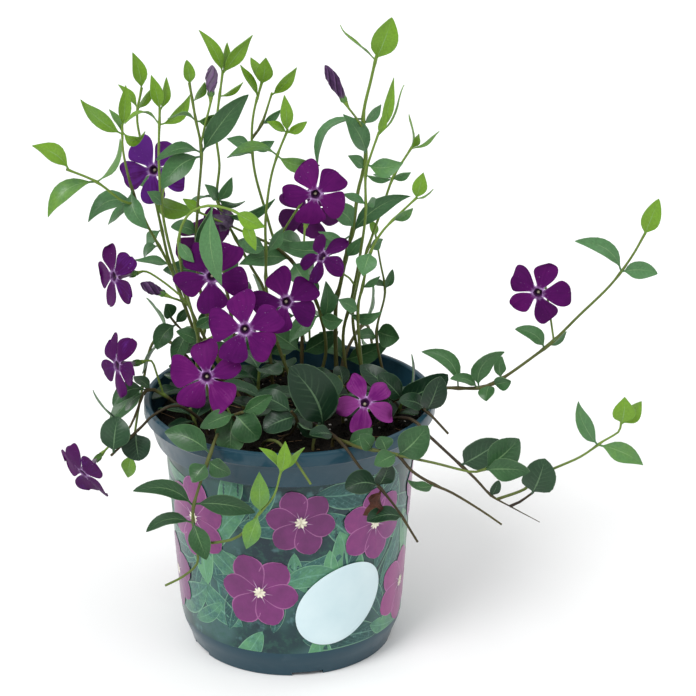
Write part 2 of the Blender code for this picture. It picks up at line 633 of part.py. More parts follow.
class Garden:
    """What stands where: each node's solids, and trees to test whether a new one is clear."""

    def __init__(self):
        self.solids = {}
        self.trees = {}

    def add(self, node, solid):
        self.solids.setdefault(node, []).append(solid)
        self.trees.setdefault(node, []).append(BVHTree.FromPolygons(*solid))

    def clear(self, solids, own=None):
        tests = [BVHTree.FromPolygons(*solid) for solid in solids]
        for node, trees in self.trees.items():
            if node == own:
                continue
            for tree in trees:
                if any(test.overlap(tree) for test in tests):
                    return False
        return True


def lengthened(path):
    """The path with its end drawn out a little, so that leaves that grow from its end sit inside the stem."""
    return path[:-1] + [path[-1] + (path[-1] - path[-2]).normalized() * CANE_END]


def cane_points(shoot, lane):
    """The canes of a shoot as lists of points. The lane moves all but the root in depth."""
    thick = shoot.get("thick", 0.9)
    root_x, root_y = shoot["root"]
    down = Vector((root_x, root_y, SOIL_TOP - HOLE_DEPTH + GAP))
    up = Vector((root_x, root_y, SOIL_TOP + 3))
    canes = []
    for number, cane in enumerate(shoot["canes"]):
        if number == 0:
            first = cane[0]
            if len(first) == 2:
                cane = [(*first, root_y + 0.0)] + cane[1:]
            depths = filled_depths(cane)
            points = [on_sheet(p[0], p[1], depth + lane) for p, depth in zip(cane, depths)]
            path = lengthened(smooth_path([down, up] + points, CANE_STEP))
            radii = [thick * (1 - 0.4 * i / (len(path) - 1)) for i in range(len(path))]
        else:
            start, _ = nearest_on(canes, on_sheet(cane[0][0], cane[0][1], 0))
            last_depth = cane[-1][2] + lane
            count = len(cane) - 1
            points = [start]
            for i, p in enumerate(cane[1:], 1):
                depth = start.y + (last_depth - start.y) * i / count
                points.append(on_sheet(p[0], p[1], depth))
            path = lengthened(smooth_path(points, CANE_STEP))
            radii = [thick * (0.85 - 0.35 * i / (len(path) - 1)) for i in range(len(path))]
        canes.append((path, radii))
    return canes


def sheet_of(point):
    """Where a point is seen on the front sheet."""
    return EYE + (point - EYE) * (-EYE.y / (point.y - EYE.y))


def nearest_on(canes, seen):
    """The cane point that is seen nearest to a place on the front sheet, and the way the cane runs there."""
    seen = sheet_of(seen)
    best = None
    for path, _ in canes:
        for a, b in zip(path, path[1:]):
            for k in range(17):
                point = a.lerp(b, k / 16)
                in_soil = point.z < SOIL_TOP + 1 and math.hypot(point.x, point.y) < BODY_TOP_RADIUS
                if in_soil or (point - path[-1]).length < CANE_END:
                    continue
                away = (sheet_of(point) - seen).length
                if best is None or away < best[0]:
                    best = (away, point, (b - a).normalized())
    return best[1], best[2]


def plant_canes(garden):
    """Every shoot's stems, each moved in depth till it is clear of those before it."""
    canes = {}
    for name, shoot in SHOOTS.items():
        for lane in (0, 2, -2, 4, -4, 6, -6, 8, -8, 10, -10, 13, -13):
            trial = cane_points(shoot, lane)
            wide = [tube(path[1:], [r + ROOM for r in radii[1:]]) for path, radii in trial]
            if garden.clear(wide):
                break
        else:
            print("no clear way for", name)
        canes[name] = trial
        for path, radii in trial:
            garden.add(name, tube(path, radii))
    return canes


def plant_blooms(garden, canes):
    for name, shoot in SHOOTS.items():
        for bloom, start, (across, up, depth), facing, spin, size in shoot.get("blooms", ()):
            direction = Vector(facing).normalized()
            foot, _ = nearest_on(canes[name], on_sheet(*start, 0))
            for nudge in (0, -3, 3, -6, 6, -9, 9, -12, 12, -16, 16, -20, 20):
                centre = on_sheet(across, up, depth + nudge)
                end = centre - direction * (TUBE_LENGTH + GAP)
                stem = stalk(foot, end, direction, 5)
                wide = bloom_solid(centre, direction, spin, size, ROOM)
                if garden.clear([wide]) and garden.clear([stem], name) and apart(wide, stem):
                    break
            else:
                print("no clear place for", bloom)
            garden.add(bloom, bloom_solid(centre, direction, spin, size))
            garden.add(name, stem)
        for bud, start, foot_at, tip_at in shoot.get("buds", ()):
            foot, _ = nearest_on(canes[name], on_sheet(*start, 0))
            for nudge in (0, -3, 3, -6, 6, -9, 9):
                tip = on_sheet(tip_at[0], tip_at[1], tip_at[2] + nudge)
                base = on_sheet(*foot_at, tip_at[2] + nudge)
                direction = (tip - base).normalized()
                end = base - direction * GAP
                stem = stalk(foot, end, direction, 3)
                if garden.clear([bud_solid(base, tip, ROOM)]) and garden.clear([stem], name):
                    break
            garden.add(bud, bud_solid(base, tip))
            garden.add(name, stem)


def leaf_trials(tip_forward, width, turn):
    """Other depths, turns and sizes for a leaf, the nearest to the wanted one first."""
    for size in (1.0, 0.85, 0.7):
        for forward in (0, 4, -4, 8, -8, 12, -12):
            for more in (0, 25, -25, 50, -50):
                yield size, tip_forward + forward, width * size, turn + more


def plant_leaves(garden, canes):
    for name, shoot in SHOOTS.items():
        for across, up, tip_across, tip_up, forward, width, turn, bow in shoot["leaves"]:
            foot, _ = nearest_on(canes[name], on_sheet(across, up, 0))
            for size, ahead, wide, turned in leaf_trials(forward, width, turn):
                tip = on_sheet(tip_across, tip_up, foot.y - ahead)
                tip = foot.lerp(tip, size)
                if garden.clear([leaf(foot, tip, wide, turned, bow, ROOM)], name):
                    garden.add(name, leaf(foot, tip, wide, turned, bow))
                    break
            else:
                print("left out", name, across, up, tip_across, tip_up)


def plant_back(garden):
    """Shoots out of sight behind: they rise, arch over the rim and bear leaves in crossed pairs."""
    draw = random.Random(7)
    for name, azimuth, radius, reach, rise, fall, has_bloom in BACK_SHOOTS:
        angle = math.radians(azimuth)
        out = Vector((math.cos(angle), math.sin(angle), 0))
        foot = out * radius
        marks = [
            foot + Vector((0, 0, SOIL_TOP - HOLE_DEPTH + GAP)), foot + Vector((0, 0, SOIL_TOP + 3)),
            foot + out * (0.30 * reach) + Vector((0, 0, SOIL_TOP + 0.9 * rise)),
            foot + out * (0.75 * reach) + Vector((0, 0, SOIL_TOP + rise)),
            foot + out * reach + Vector((0, 0, SOIL_TOP + (rise + fall) / 2)),
            foot + out * (reach + 6) + Vector((0, 0, SOIL_TOP + fall)),
        ]
        path = smooth_path(marks, CANE_STEP)
        longer = lengthened(path)
        radii = [0.9 * (1 - 0.4 * i / (len(path) - 1)) for i in range(len(path))]
        garden.add(name, tube(longer, radii))
        way = [a.lerp(b, k / 5) for a, b in zip(path, path[1:]) for k in range(5)] + [path[-1]]
        joints = range(7, len(way) - 1, 6)
        for number, i in enumerate(joints):
            ahead = (way[i + 1] - way[i - 1]).normalized()
            flank = ahead.cross(Vector((0, 0, 1))).normalized()
            rise_way = flank.cross(ahead).normalized()
            for sign in (1, -1):
                spread = flank * sign if number % 2 == 0 else rise_way * sign
                for size in (1.0, 0.85, 0.7):
                    length = BACK_LEAF * size * draw.uniform(0.85, 1.15)
                    tip = way[i] + (spread * 0.85 + ahead * 0.55) * length
                    turn = 90 if number % 2 else 20
                    if garden.clear([leaf(way[i], tip, 9 * size, turn, 0, ROOM)], name):
                        garden.add(name, leaf(way[i], tip, 9 * size, turn, 0))
                        break
        tip = way[-1] + (way[-1] - way[-3]).normalized() * 13
        if garden.clear([leaf(way[-1], tip, 7, 20, 0, ROOM)], name):
            garden.add(name, leaf(way[-1], tip, 7, 20, 0))
        if has_bloom:
            facing = (out + Vector((0, 0, 0.3))).normalized()
            foot = way[len(way) // 2]
            for lift in (14, 18, 22, 10, 26, 30):
                centre = foot + facing * 20 + Vector((0, 0, lift))
                end = centre - facing * (TUBE_LENGTH + GAP)
                stem = stalk(foot, end, facing, 4)
                wide = bloom_solid(centre, facing, 10, BACK_BLOOM, ROOM)
                if garden.clear([wide]) and garden.clear([stem], name):
                    garden.add(name.replace("shoot", "bloom"), bloom_solid(centre, facing, 10, BACK_BLOOM))
                    garden.add(name, stem)
                    break


def plant_low(garden):
    """Short shoots on the soil, with crossed pairs of broad leaves that lie nearly level."""
    draw = random.Random(3)
    for name, x, y, rise in LOW_SHOOTS:
        foot = Vector((x, y, SOIL_TOP - HOLE_DEPTH + GAP))
        lean = Vector((draw.uniform(-4, 4), draw.uniform(-4, 4), 0))
        path = [foot, Vector((x, y, SOIL_TOP + 2)), Vector((x, y, SOIL_TOP + rise)) + lean]
        garden.add(name, tube(lengthened(path), [0.85, 0.8, 0.6]))
        first = draw.uniform(0, 180)
        for number, share in enumerate((0.25, 0.6, 1.0)):
            start = path[1].lerp(path[2], share)
            for sign in (0, 180):
                angle = math.radians(first + 90 * number + sign + draw.uniform(-20, 20))
                out = Vector((math.cos(angle), math.sin(angle), draw.uniform(0.05, 0.4)))
                for size in (1.0, 0.85, 0.7):
                    tip = start + out * (LOW_LEAF * size)
                    blade_now = level_leaf(start, tip, 9.5 * size, ROOM)
                    if garden.clear([blade_now], name):
                        garden.add(name, level_leaf(start, tip, 9.5 * size))
                        break


def new_object(name, points, faces, scale=MM):
    mesh = bpy.data.meshes.new(name)
    mesh.from_pydata([p * scale for p in points], [], faces)
    mesh.update()
    made = bpy.data.objects.new(name, mesh)
    bpy.context.scene.collection.objects.link(made)
    return made


def bodies_of(shape):
    """The bodies of a bmesh, each as a list of its vertices, the largest first."""
    seen, bodies = set(), []
    for start in shape.verts:
        if start in seen:
            continue
        seen.add(start)
        body = [start]
        for vert in body:
            for edge in vert.link_edges:
                other = edge.other_vert(vert)
                if other not in seen:
                    seen.add(other)
                    body.append(other)
        bodies.append(body)
    return sorted(bodies, key=len, reverse=True)


def tidied(mesh, weld):
    """Welds a mesh, drops all but its largest body, and says whether what is left is closed."""
    shape = bmesh.new()
    shape.from_mesh(mesh)
    bmesh.ops.triangulate(shape, faces=shape.faces)
    bmesh.ops.remove_doubles(shape, verts=shape.verts, dist=weld)
    for body in bodies_of(shape)[1:]:
        bmesh.ops.delete(shape, geom=body, context="VERTS")
    closed = all(len(edge.link_faces) == 2 for edge in shape.edges)
    shape.to_mesh(mesh)
    shape.free()
    return closed


def fused(name, solids, paint):
    """One object of all the solids, by one Boolean union on a collection, which is then applied."""
    draw = random.Random(name)
    for nudge in (0, 0, 0.02, 0.02, 0.04, 0.04, 0.06, 0.06):
        base = new_object(name, *solids[0])
        helpers = bpy.data.collections.new(name + "_helpers")
        bpy.context.scene.collection.children.link(helpers)
        for number, (points, faces) in enumerate(solids[1:]):
            away = Vector([draw.uniform(-nudge, nudge) for _ in range(3)])
            piece = new_object(f"{name}_{number}", [point + away for point in points], faces)
            bpy.context.scene.collection.objects.unlink(piece)
            helpers.objects.link(piece)
        mesh = united(base, helpers)
        for piece in list(helpers.objects):
            bpy.data.objects.remove(piece, do_unlink=True)
        bpy.data.collections.remove(helpers)
        if mesh:
            break
        bpy.data.objects.remove(base, do_unlink=True)
    base.data = mesh
    base.data.materials.clear()
    base.data.materials.append(material(paint))
    return base


def united(base, helpers):
    """The base and its helpers as one closed mesh, or None where neither solver gives one."""
    for solver in ("EXACT", "MANIFOLD"):
        union = base.modifiers.new("fuse", "BOOLEAN")
        union.operation = "UNION"
        union.operand_type = "COLLECTION"
        union.collection = helpers
        union.solver = solver
        graph = bpy.context.evaluated_depsgraph_get()
        mesh = bpy.data.meshes.new_from_object(base.evaluated_get(graph))
        base.modifiers.remove(union)
        for weld in WELDS:
            trial = mesh.copy()
            if tidied(trial, weld):
                return trial
    return None


def spun(name, profile, sides):
    """A solid turned about Z from a profile of (radius, height), in millimetres."""
    shape = bmesh.new()
    verts = [shape.verts.new((radius * MM, 0, height * MM)) for radius, height in profile]
    edges = [shape.edges.new(pair) for pair in zip(verts, verts[1:])]
    bmesh.ops.spin(
        shape, geom=verts + edges, axis=(0, 0, 1), cent=(0, 0, 0), angle=2 * math.pi, steps=sides,
        use_merge=True,
    )
    bmesh.ops.remove_doubles(shape, verts=shape.verts, dist=0.00001)
    bmesh.ops.recalc_face_normals(shape, faces=shape.faces)
    mesh = bpy.data.meshes.new(name)
    shape.to_mesh(mesh)
    shape.free()
    made = bpy.data.objects.new(name, mesh)
    bpy.context.scene.collection.objects.link(made)
    return made


def cut(target, cutters):
    """Takes the cutters away from the target by one Boolean, which is applied."""
    helpers = bpy.data.collections.new(target.name + "_cutters")
    bpy.context.scene.collection.children.link(helpers)
    for cutter in cutters:
        for owner in list(cutter.users_collection):
            owner.objects.unlink(cutter)
        helpers.objects.link(cutter)
    difference = target.modifiers.new("cut", "BOOLEAN")
    difference.operation = "DIFFERENCE"
    difference.operand_type = "COLLECTION"
    difference.collection = helpers
    graph = bpy.context.evaluated_depsgraph_get()
    mesh = bpy.data.meshes.new_from_object(target.evaluated_get(graph))
    target.modifiers.remove(difference)
    target.data = mesh
    for cutter in list(helpers.objects):
        bpy.data.objects.remove(cutter, do_unlink=True)
    bpy.data.collections.remove(helpers)


def inner_wall(height):
    """The pot's inside radius at a height."""
    if height > COLLAR_FOOT + 1.5:
        share = (height - COLLAR_FOOT - 1.5) / (POT_HEIGHT - LIP_DEPTH - COLLAR_FOOT - 1.5)
        outside = COLLAR_FOOT_RADIUS + (COLLAR_TOP_RADIUS - COLLAR_FOOT_RADIUS) * min(share, 1)
        return outside - WALL
    share = (height - 14) / (COLLAR_FOOT - 14)
    return BODY_FOOT_RADIUS + (BODY_TOP_RADIUS - BODY_FOOT_RADIUS) * share - WALL


def make_pot():
    collar_top = POT_HEIGHT - LIP_DEPTH
    profile = [
        (0, 0), (BOSS_RADIUS, 0), (BOSS_RADIUS, FLOOR_UNDER), (FOOT_RADIUS - 2.6, FLOOR_UNDER),
        (FOOT_RADIUS - 2.6, 0), (FOOT_RADIUS, 0), (43.6, 4.2), (BODY_FOOT_RADIUS - 0.4, 9.5),
        (BODY_FOOT_RADIUS, 14), (BODY_TOP_RADIUS, COLLAR_FOOT), (COLLAR_FOOT_RADIUS, COLLAR_FOOT + 0.6),
        (COLLAR_TOP_RADIUS, collar_top), (LIP_RADIUS, collar_top + 0.5), (LIP_RADIUS, POT_HEIGHT - 1),
        (LIP_RADIUS - 1, POT_HEIGHT), (inner_wall(collar_top) + 0.8, POT_HEIGHT),
        (inner_wall(collar_top), collar_top), (inner_wall(COLLAR_FOOT + 1.6), COLLAR_FOOT + 1.6),
        (inner_wall(COLLAR_FOOT), COLLAR_FOOT), (inner_wall(14), 14), (41.5, FLOOR_TOP), (0, FLOOR_TOP),
    ]
    pot = spun("pot", profile, POT_SIDES)
    cutters = []
    for k in range(DRAINS):
        angle = 2 * math.pi * (k + 0.5) / DRAINS
        bpy.ops.mesh.primitive_cylinder_add(
            vertices=8, radius=4 * MM, depth=12 * MM,
            location=(26 * math.cos(angle) * MM, 26 * math.sin(angle) * MM, 4 * MM),
        )
        cutters.append(bpy.context.object)
    for k in range(NOTCHES):
        angle = math.radians(-152 + 72 * k)
        bpy.ops.mesh.primitive_cube_add(
            size=MM, location=(FOOT_RADIUS * math.cos(angle) * MM, FOOT_RADIUS * math.sin(angle) * MM, 0),
            rotation=(0, 0, angle), scale=(9, 13, 3.6),
        )
        cutters.append(bpy.context.object)
    cut(pot, cutters)
    pot.data.materials.clear()
    pot.data.materials.append(material("pot"))
    pot.data.shade_smooth()
    pot.data.set_sharp_from_angle(angle=math.radians(35))
    return pot


def soil_height(x, y):
    """The crumbly top of the soil, in millimetres."""
    wave = math.sin(x * 0.21 + 1.3) * math.cos(y * 0.17 - 0.4) + 0.6 * math.sin(x * 0.43 - y * 0.37)
    edge = max(0, (math.hypot(x, y) - 48) / 8)
    return SOIL_TOP + SOIL_BUMP * wave * (1 - min(edge, 1)) - 0.8 * edge


def make_soil(roots):
    top = [(inner_wall(SOIL_TOP - 1) - GAP, SOIL_TOP - 1), (44, SOIL_TOP), (31, SOIL_TOP), (17, SOIL_TOP), (0, SOIL_TOP)]
    profile = [
        (0, FLOOR_TOP + GAP), (41.0, FLOOR_TOP + GAP), (inner_wall(14) - GAP, 14.3),
        (inner_wall(COLLAR_FOOT) - GAP, COLLAR_FOOT + GAP + 0.3),
        (inner_wall(COLLAR_FOOT + 1.6) - GAP - 0.2, COLLAR_FOOT + 2.2),
    ] + top
    soil = spun("soil", profile, POT_SIDES)
    for vert in soil.data.vertices:
        if vert.co.z > (SOIL_TOP - 1.5) * MM:
            vert.co.z = soil_height(vert.co.x / MM, vert.co.y / MM) * MM
    cutters = []
    for x, y, radius in roots:
        bpy.ops.mesh.primitive_cylinder_add(
            vertices=6, radius=(radius / math.cos(math.pi / 6) + GAP + 0.05) * MM,
            depth=2 * HOLE_DEPTH * MM, location=(x * MM, y * MM, SOIL_TOP * MM),
        )
        cutters.append(bpy.context.object)
    cut(soil, cutters)
    soil.data.materials.clear()
    soil.data.materials.append(material("soil"))
    return soil


def solid_of(made):
    """An object's points and faces in millimetres, for clearance tests."""
    points = [vert.co / MM for vert in made.data.vertices]
    faces = [tuple(face.vertices) for face in made.data.polygons]
    return points, faces


def main():
    clear_scene()
    roots = [(*shoot["root"], shoot.get("thick", 0.9)) for shoot in SHOOTS.values()]
    for _, azimuth, radius, *_ in BACK_SHOOTS:
        angle = math.radians(azimuth)
        roots.append((radius * math.cos(angle), radius * math.sin(angle), 0.9))
    roots += [(x, y, 0.85) for _, x, y, _ in LOW_SHOOTS]
    pot = make_pot()
    soil = make_soil(roots)
    garden = Garden()
    garden.trees["pot"] = [BVHTree.FromPolygons(*solid_of(pot))]
    garden.trees["soil"] = [BVHTree.FromPolygons(*solid_of(soil))]
    canes = plant_canes(garden)
    plant_blooms(garden, canes)
    plant_leaves(garden, canes)
    plant_back(garden)
    plant_low(garden)
    for node, solids in garden.solids.items():
        if node.startswith("bloom"):
            paint = "petal"
        elif node.startswith("bud"):
            paint = "bud"
        else:
            paint = "dark" if "low" in node else SHOOTS.get(node, {}).get("colour", "grown")
        fused(node, solids, paint)


main()
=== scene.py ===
"""The looks of a potted lesser periwinkle with dark purple flowers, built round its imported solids.

Lengths are written in millimetres and brought to metres by MM. The pot's axis is Z, -Y is the front.
"""

import math
import random

import bmesh
import bpy
import numpy as np
from mathutils import Matrix, Vector, kdtree
from mathutils.bvhtree import BVHTree
from mathutils.noise import noise as lumpy


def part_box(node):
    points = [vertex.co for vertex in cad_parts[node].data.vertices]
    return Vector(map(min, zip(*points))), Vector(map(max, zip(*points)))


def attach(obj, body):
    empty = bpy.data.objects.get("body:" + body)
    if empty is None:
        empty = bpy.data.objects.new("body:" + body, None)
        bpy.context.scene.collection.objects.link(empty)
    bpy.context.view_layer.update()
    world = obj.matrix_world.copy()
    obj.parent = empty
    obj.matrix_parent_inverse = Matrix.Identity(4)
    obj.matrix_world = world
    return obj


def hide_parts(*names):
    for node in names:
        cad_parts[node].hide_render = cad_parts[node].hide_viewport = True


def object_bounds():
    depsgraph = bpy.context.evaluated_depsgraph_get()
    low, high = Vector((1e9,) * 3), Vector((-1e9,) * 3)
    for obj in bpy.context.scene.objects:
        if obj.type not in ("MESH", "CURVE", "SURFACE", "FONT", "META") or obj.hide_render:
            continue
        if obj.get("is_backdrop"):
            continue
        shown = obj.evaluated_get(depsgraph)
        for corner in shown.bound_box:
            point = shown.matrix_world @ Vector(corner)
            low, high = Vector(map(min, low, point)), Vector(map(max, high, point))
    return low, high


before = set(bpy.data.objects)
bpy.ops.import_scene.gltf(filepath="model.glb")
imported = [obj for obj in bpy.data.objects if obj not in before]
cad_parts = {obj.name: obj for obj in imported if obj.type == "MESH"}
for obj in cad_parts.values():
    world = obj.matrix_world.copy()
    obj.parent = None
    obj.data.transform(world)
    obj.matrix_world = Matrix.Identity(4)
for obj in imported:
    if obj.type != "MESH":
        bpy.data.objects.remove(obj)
cad_low, cad_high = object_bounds()

MM = 0.001

# Camera. It stands a metre away, 22 degrees above the floor, a little to the right of the pot,
# and sees the plant and the pot through a long lens.
EYE = Vector((24, -926, 505))
AIM = Vector((24, 0, 128.7))
LENS = 126.5

bpy.ops.object.camera_add(location=EYE * MM)
camera = bpy.context.object
camera.name = "studio_camera"
camera.data.lens = LENS
camera.rotation_euler = (AIM - EYE).to_track_quat("-Z", "Y").to_euler()
bpy.context.scene.camera = camera


# Floor and light. The floor is a plain pale sheet in a white room, brighter above than at the
# walls. A broad soft key light comes from the upper left front, and a weak one from the right.
FLOOR_SIZE = 60.0
FLOOR_COLOUR = (0.88, 0.885, 0.885)
BACKDROP_LIGHT = 0.97
WALL_LIGHT, CEILING_LIGHT = 0.34, 0.95
# Lights: (name, where it shines from, its breadth in degrees, its power).
LIGHTS = (("key_light", (-0.60, -0.72, 1.0), 28, 1.95), ("fill_light", (0.95, -0.55, 0.60), 40, 0.45))
WEAK_GLOSS = 0.2


def add(tree, kind, feeds=(), **settings):
    """Adds a shader node. Feeds, a dict by name or a list by place, are values or other nodes' outputs."""
    made = tree.nodes.new(kind)
    for name, value in settings.items():
        setattr(made, name, value)
    for place, value in feeds.items() if isinstance(feeds, dict) else enumerate(feeds):
        if isinstance(value, bpy.types.NodeSocket):
            tree.links.new(value, made.inputs[place])
        else:
            made.inputs[place].default_value = value
    return made


def sums(tree, operation, *values):
    """A Math node's result."""
    return add(tree, "ShaderNodeMath", list(values), operation=operation).outputs[0]


def times(tree, one, other):
    return sums(tree, "MULTIPLY", one, other)


def plus(tree, one, other):
    return sums(tree, "ADD", one, other)


def ramp(tree, value, *stops):
    """A colour for each value, from stops of (place, (red, green, blue))."""
    made = add(tree, "ShaderNodeValToRGB", [value])
    bar = made.color_ramp
    while len(bar.elements) < len(stops):
        bar.elements.new(0.5)
    for element, (place, colour) in zip(bar.elements, stops):
        element.position = place
        element.color = (*colour, 1)
    return made.outputs["Color"]


def masked(tree, share, one, other):
    """The first colour where share is 0, the second where it is 1."""
    made = add(tree, "ShaderNodeMix", data_type="RGBA")
    for place, value in ((0, share), (6, one), (7, other)):
        if isinstance(value, bpy.types.NodeSocket):
            tree.links.new(value, made.inputs[place])
        else:
            made.inputs[place].default_value = value if place == 0 else (*value, 1)
    return made.outputs[2]


def span(tree, value, low, high, to_low=0.0, to_high=1.0):
    """The value moved from one range to another, eased and held at both ends."""
    feeds = [value, low, high, to_low, to_high]
    return add(tree, "ShaderNodeMapRange", feeds, interpolation_type="SMOOTHSTEP").outputs[0]


def finish(name, roughness, **sockets):
    """A new material: its node tree and its Principled shader, with the sockets that stay the same all over.
    Its reflection is weak unless it is given, because the bright room would veil its colours."""
    made = bpy.data.materials.new(name)
    made.use_nodes = True
    shader = made.node_tree.nodes["Principled BSDF"]
    shader.inputs["Roughness"].default_value = roughness
    shader.inputs["Specular IOR Level"].default_value = WEAK_GLOSS
    for socket, value in sockets.items():
        shader.inputs[socket.replace("_", " ")].default_value = value
    return made, made.node_tree, shader


def painted(tree, shader, colour):
    tree.links.new(colour, shader.inputs["Base Color"])


def place_of(tree):
    return add(tree, "ShaderNodeTexCoord").outputs["Object"]


def named(tree, attribute):
    return add(tree, "ShaderNodeAttribute", attribute_name=attribute).outputs["Fac"]


def on_blade(tree):
    """How far along a blade a point lies, 0 to 1, and how far off its middle, 0 to 0.5, by its UV map."""
    uv = add(tree, "ShaderNodeSeparateXYZ", [add(tree, "ShaderNodeUVMap").outputs[0]])
    return uv.outputs[0], sums(tree, "ABSOLUTE", sums(tree, "SUBTRACT", uv.outputs[1], 0.5))


def side_veins(tree, along, off_rib, count, slope):
    """How near a point of a blade is to a slanting side vein: 0 on it, 0.5 between two."""
    slant = sums(tree, "SUBTRACT", times(tree, along, count), times(tree, off_rib, slope))
    return sums(tree, "ABSOLUTE", sums(tree, "SUBTRACT", sums(tree, "FRACT", slant), 0.5))


def noise(tree, place, size, detail=3.0, rough=0.55):
    """Noise whose patches are about size millimetres across."""
    feeds = {"Vector": place, "Scale": 1 / (size * MM), "Detail": detail, "Roughness": rough}
    return add(tree, "ShaderNodeTexNoise", feeds).outputs[0]


def bump(tree, shader, height, strength, depth):
    """Relief on a shader, its depth in millimetres."""
    feeds = {"Height": height, "Strength": strength, "Distance": depth * MM}
    tree.links.new(add(tree, "ShaderNodeBump", feeds).outputs[0], shader.inputs["Normal"])


def mottled(name, roughness, dark, light, patches, relief=None, low=0.3, high=0.7, **sockets):
    """A material of two colours in patches of noise. Relief is (its own noise, strength, depth)."""
    made, tree, shader = finish(name, roughness, **sockets)
    place = place_of(tree)
    painted(tree, shader, ramp(tree, noise(tree, place, *patches), (low, dark), (high, light)))
    if relief:
        grain, strength, depth = relief
        bump(tree, shader, noise(tree, place, *grain), strength, depth)
    return made


world = bpy.data.worlds.new("white_room")
world.use_nodes = True
tree = world.node_tree
aloft = add(tree, "ShaderNodeSeparateXYZ", [add(tree, "ShaderNodeTexCoord").outputs["Generated"]]).outputs[2]
room = span(tree, aloft, -0.1, 0.9, WALL_LIGHT, CEILING_LIGHT)
seen = add(tree, "ShaderNodeLightPath").outputs["Is Camera Ray"]
strength = add(tree, "ShaderNodeMix", {0: seen, 2: room, 3: BACKDROP_LIGHT})
tree.links.new(strength.outputs[0], tree.nodes["Background"].inputs["Strength"])
tree.nodes["Background"].inputs["Color"].default_value = (1, 1, 1, 1)
bpy.context.scene.world = world
bpy.context.scene.view_settings.view_transform = "Standard"

for name, spot, spread, power in LIGHTS:
    bpy.ops.object.light_add(type="SUN", location=spot)
    lamp = bpy.context.object
    lamp.name = name
    lamp.data.energy = power
    lamp.data.angle = math.radians(spread)
    lamp.rotation_euler = Vector(spot).to_track_quat("Z", "Y").to_euler()

bpy.ops.mesh.primitive_plane_add(size=FLOOR_SIZE)
floor = bpy.context.object
floor.name = "floor"
floor.data.materials.append(
    mottled("pale_floor", 0.7, FLOOR_COLOUR, tuple(c * 1.03 for c in FLOOR_COLOUR), (400,)))
floor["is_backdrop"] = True


# The pot: blow-moulded slate blue plastic, glossy, with a rolled lip, a plain collar, a body that
# tapers to a notched foot, drain holes in its floor, and fine scuffs where it has been handled.
# Its rings are (radius, height), from the middle of its underside, up outside and down inside.
LIP_RADIUS, _, POT_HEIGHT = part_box("pot")[1] / MM
BOSS_RADIUS = 7.0
COLLAR_FOOT = 91.5
BODY_TOP_RADIUS = 51.7
BODY_FOOT_RADIUS = 46.5
BODY_FOOT = 14.0
FOOT_RADIUS = 42.5
POT_RINGS = (
    (BOSS_RADIUS, 0.0), (7.0, 2.6), (39.9, 2.6), (39.9, 0.3), (40.2, 0.0), (42.1, 0.0), (42.6, 0.4),
    (43.6, 4.2), (44.8, 7.0), (45.9, 9.8), (46.4, 12.0), (BODY_FOOT_RADIUS, BODY_FOOT),
    (48.24, 40.0), (49.92, 65.0),
    (BODY_TOP_RADIUS - 0.1, 90.6), (51.9, 91.2), (54.7, 91.6), (55.5, 92.1), (55.9, 93.0), (58.0, 101.2),
    (58.5, 101.9), (59.5, 102.2), (LIP_RADIUS, 102.8), (LIP_RADIUS, 106.8), (59.7, 107.6), (59.0, POT_HEIGHT),
    (57.9, POT_HEIGHT), (57.3, 107.5), (56.8, 102.0), (54.3, 93.2), (50.3, 91.5), (45.1, 14.0), (41.5, 4.4),
    (1.0, 4.4),
)
POT_SIDES = 96
POT_GLOSS = dict(Coat_Weight=0.28, Coat_Roughness=0.1)
NOTCHES, FIRST_NOTCH = 5, -152
NOTCH_SIZE = (9.0, 13.0, 3.6)
DRAINS, DRAINS_AT = 6, 26.0
DRAIN_RADIUS, DRAIN_DEPTH = 4.0, 12.0


def only(piece):
    """Selects a piece alone and makes it the active one."""
    bpy.ops.object.select_all(action="DESELECT")
    piece.select_set(True)
    bpy.context.view_layer.objects.active = piece


def smooth(degrees):
    """Shades the active piece smooth, but for edges that are sharper than this."""
    bpy.ops.object.shade_smooth_by_angle(angle=math.radians(degrees))


def modified(piece, kind, **settings):
    """Puts a modifier on a piece and applies it."""
    only(piece)
    change = piece.modifiers.new(kind.lower(), kind)
    for name, value in settings.items():
        setattr(change, name, value)
    bpy.ops.object.modifier_apply(modifier=change.name)


def copy_of(shape, material, places=None):
    """A copy of a shape, its points moved to new places, in millimetres, where they are given."""
    copy = shape.copy()
    copy.data = shape.data.copy()
    copy.data.materials.append(material)
    bpy.context.collection.objects.link(copy)
    if places is not None:
        copy.data.vertices.foreach_set("co", (places * MM).ravel())
    return copy


def joined(name, parts):
    """One piece of all the parts."""
    only(parts[0])
    for part in parts:
        part.select_set(True)
    bpy.ops.object.join()
    piece = bpy.context.object
    piece.name = piece.data.name = name
    return piece


def edit(piece, wanted=None):
    """Opens a piece in edit mode, with all vertices selected, or only those whose place passes the test."""
    only(piece)
    bpy.ops.object.mode_set(mode="EDIT")
    bpy.ops.mesh.select_mode(type="VERT")
    bpy.ops.mesh.select_all(action="DESELECT" if wanted else "SELECT")
    if wanted:
        shape = bmesh.from_edit_mesh(piece.data)
        for vert in shape.verts:
            vert.select = wanted(vert.co)
        shape.select_flush(True)
        bmesh.update_edit_mesh(piece.data)


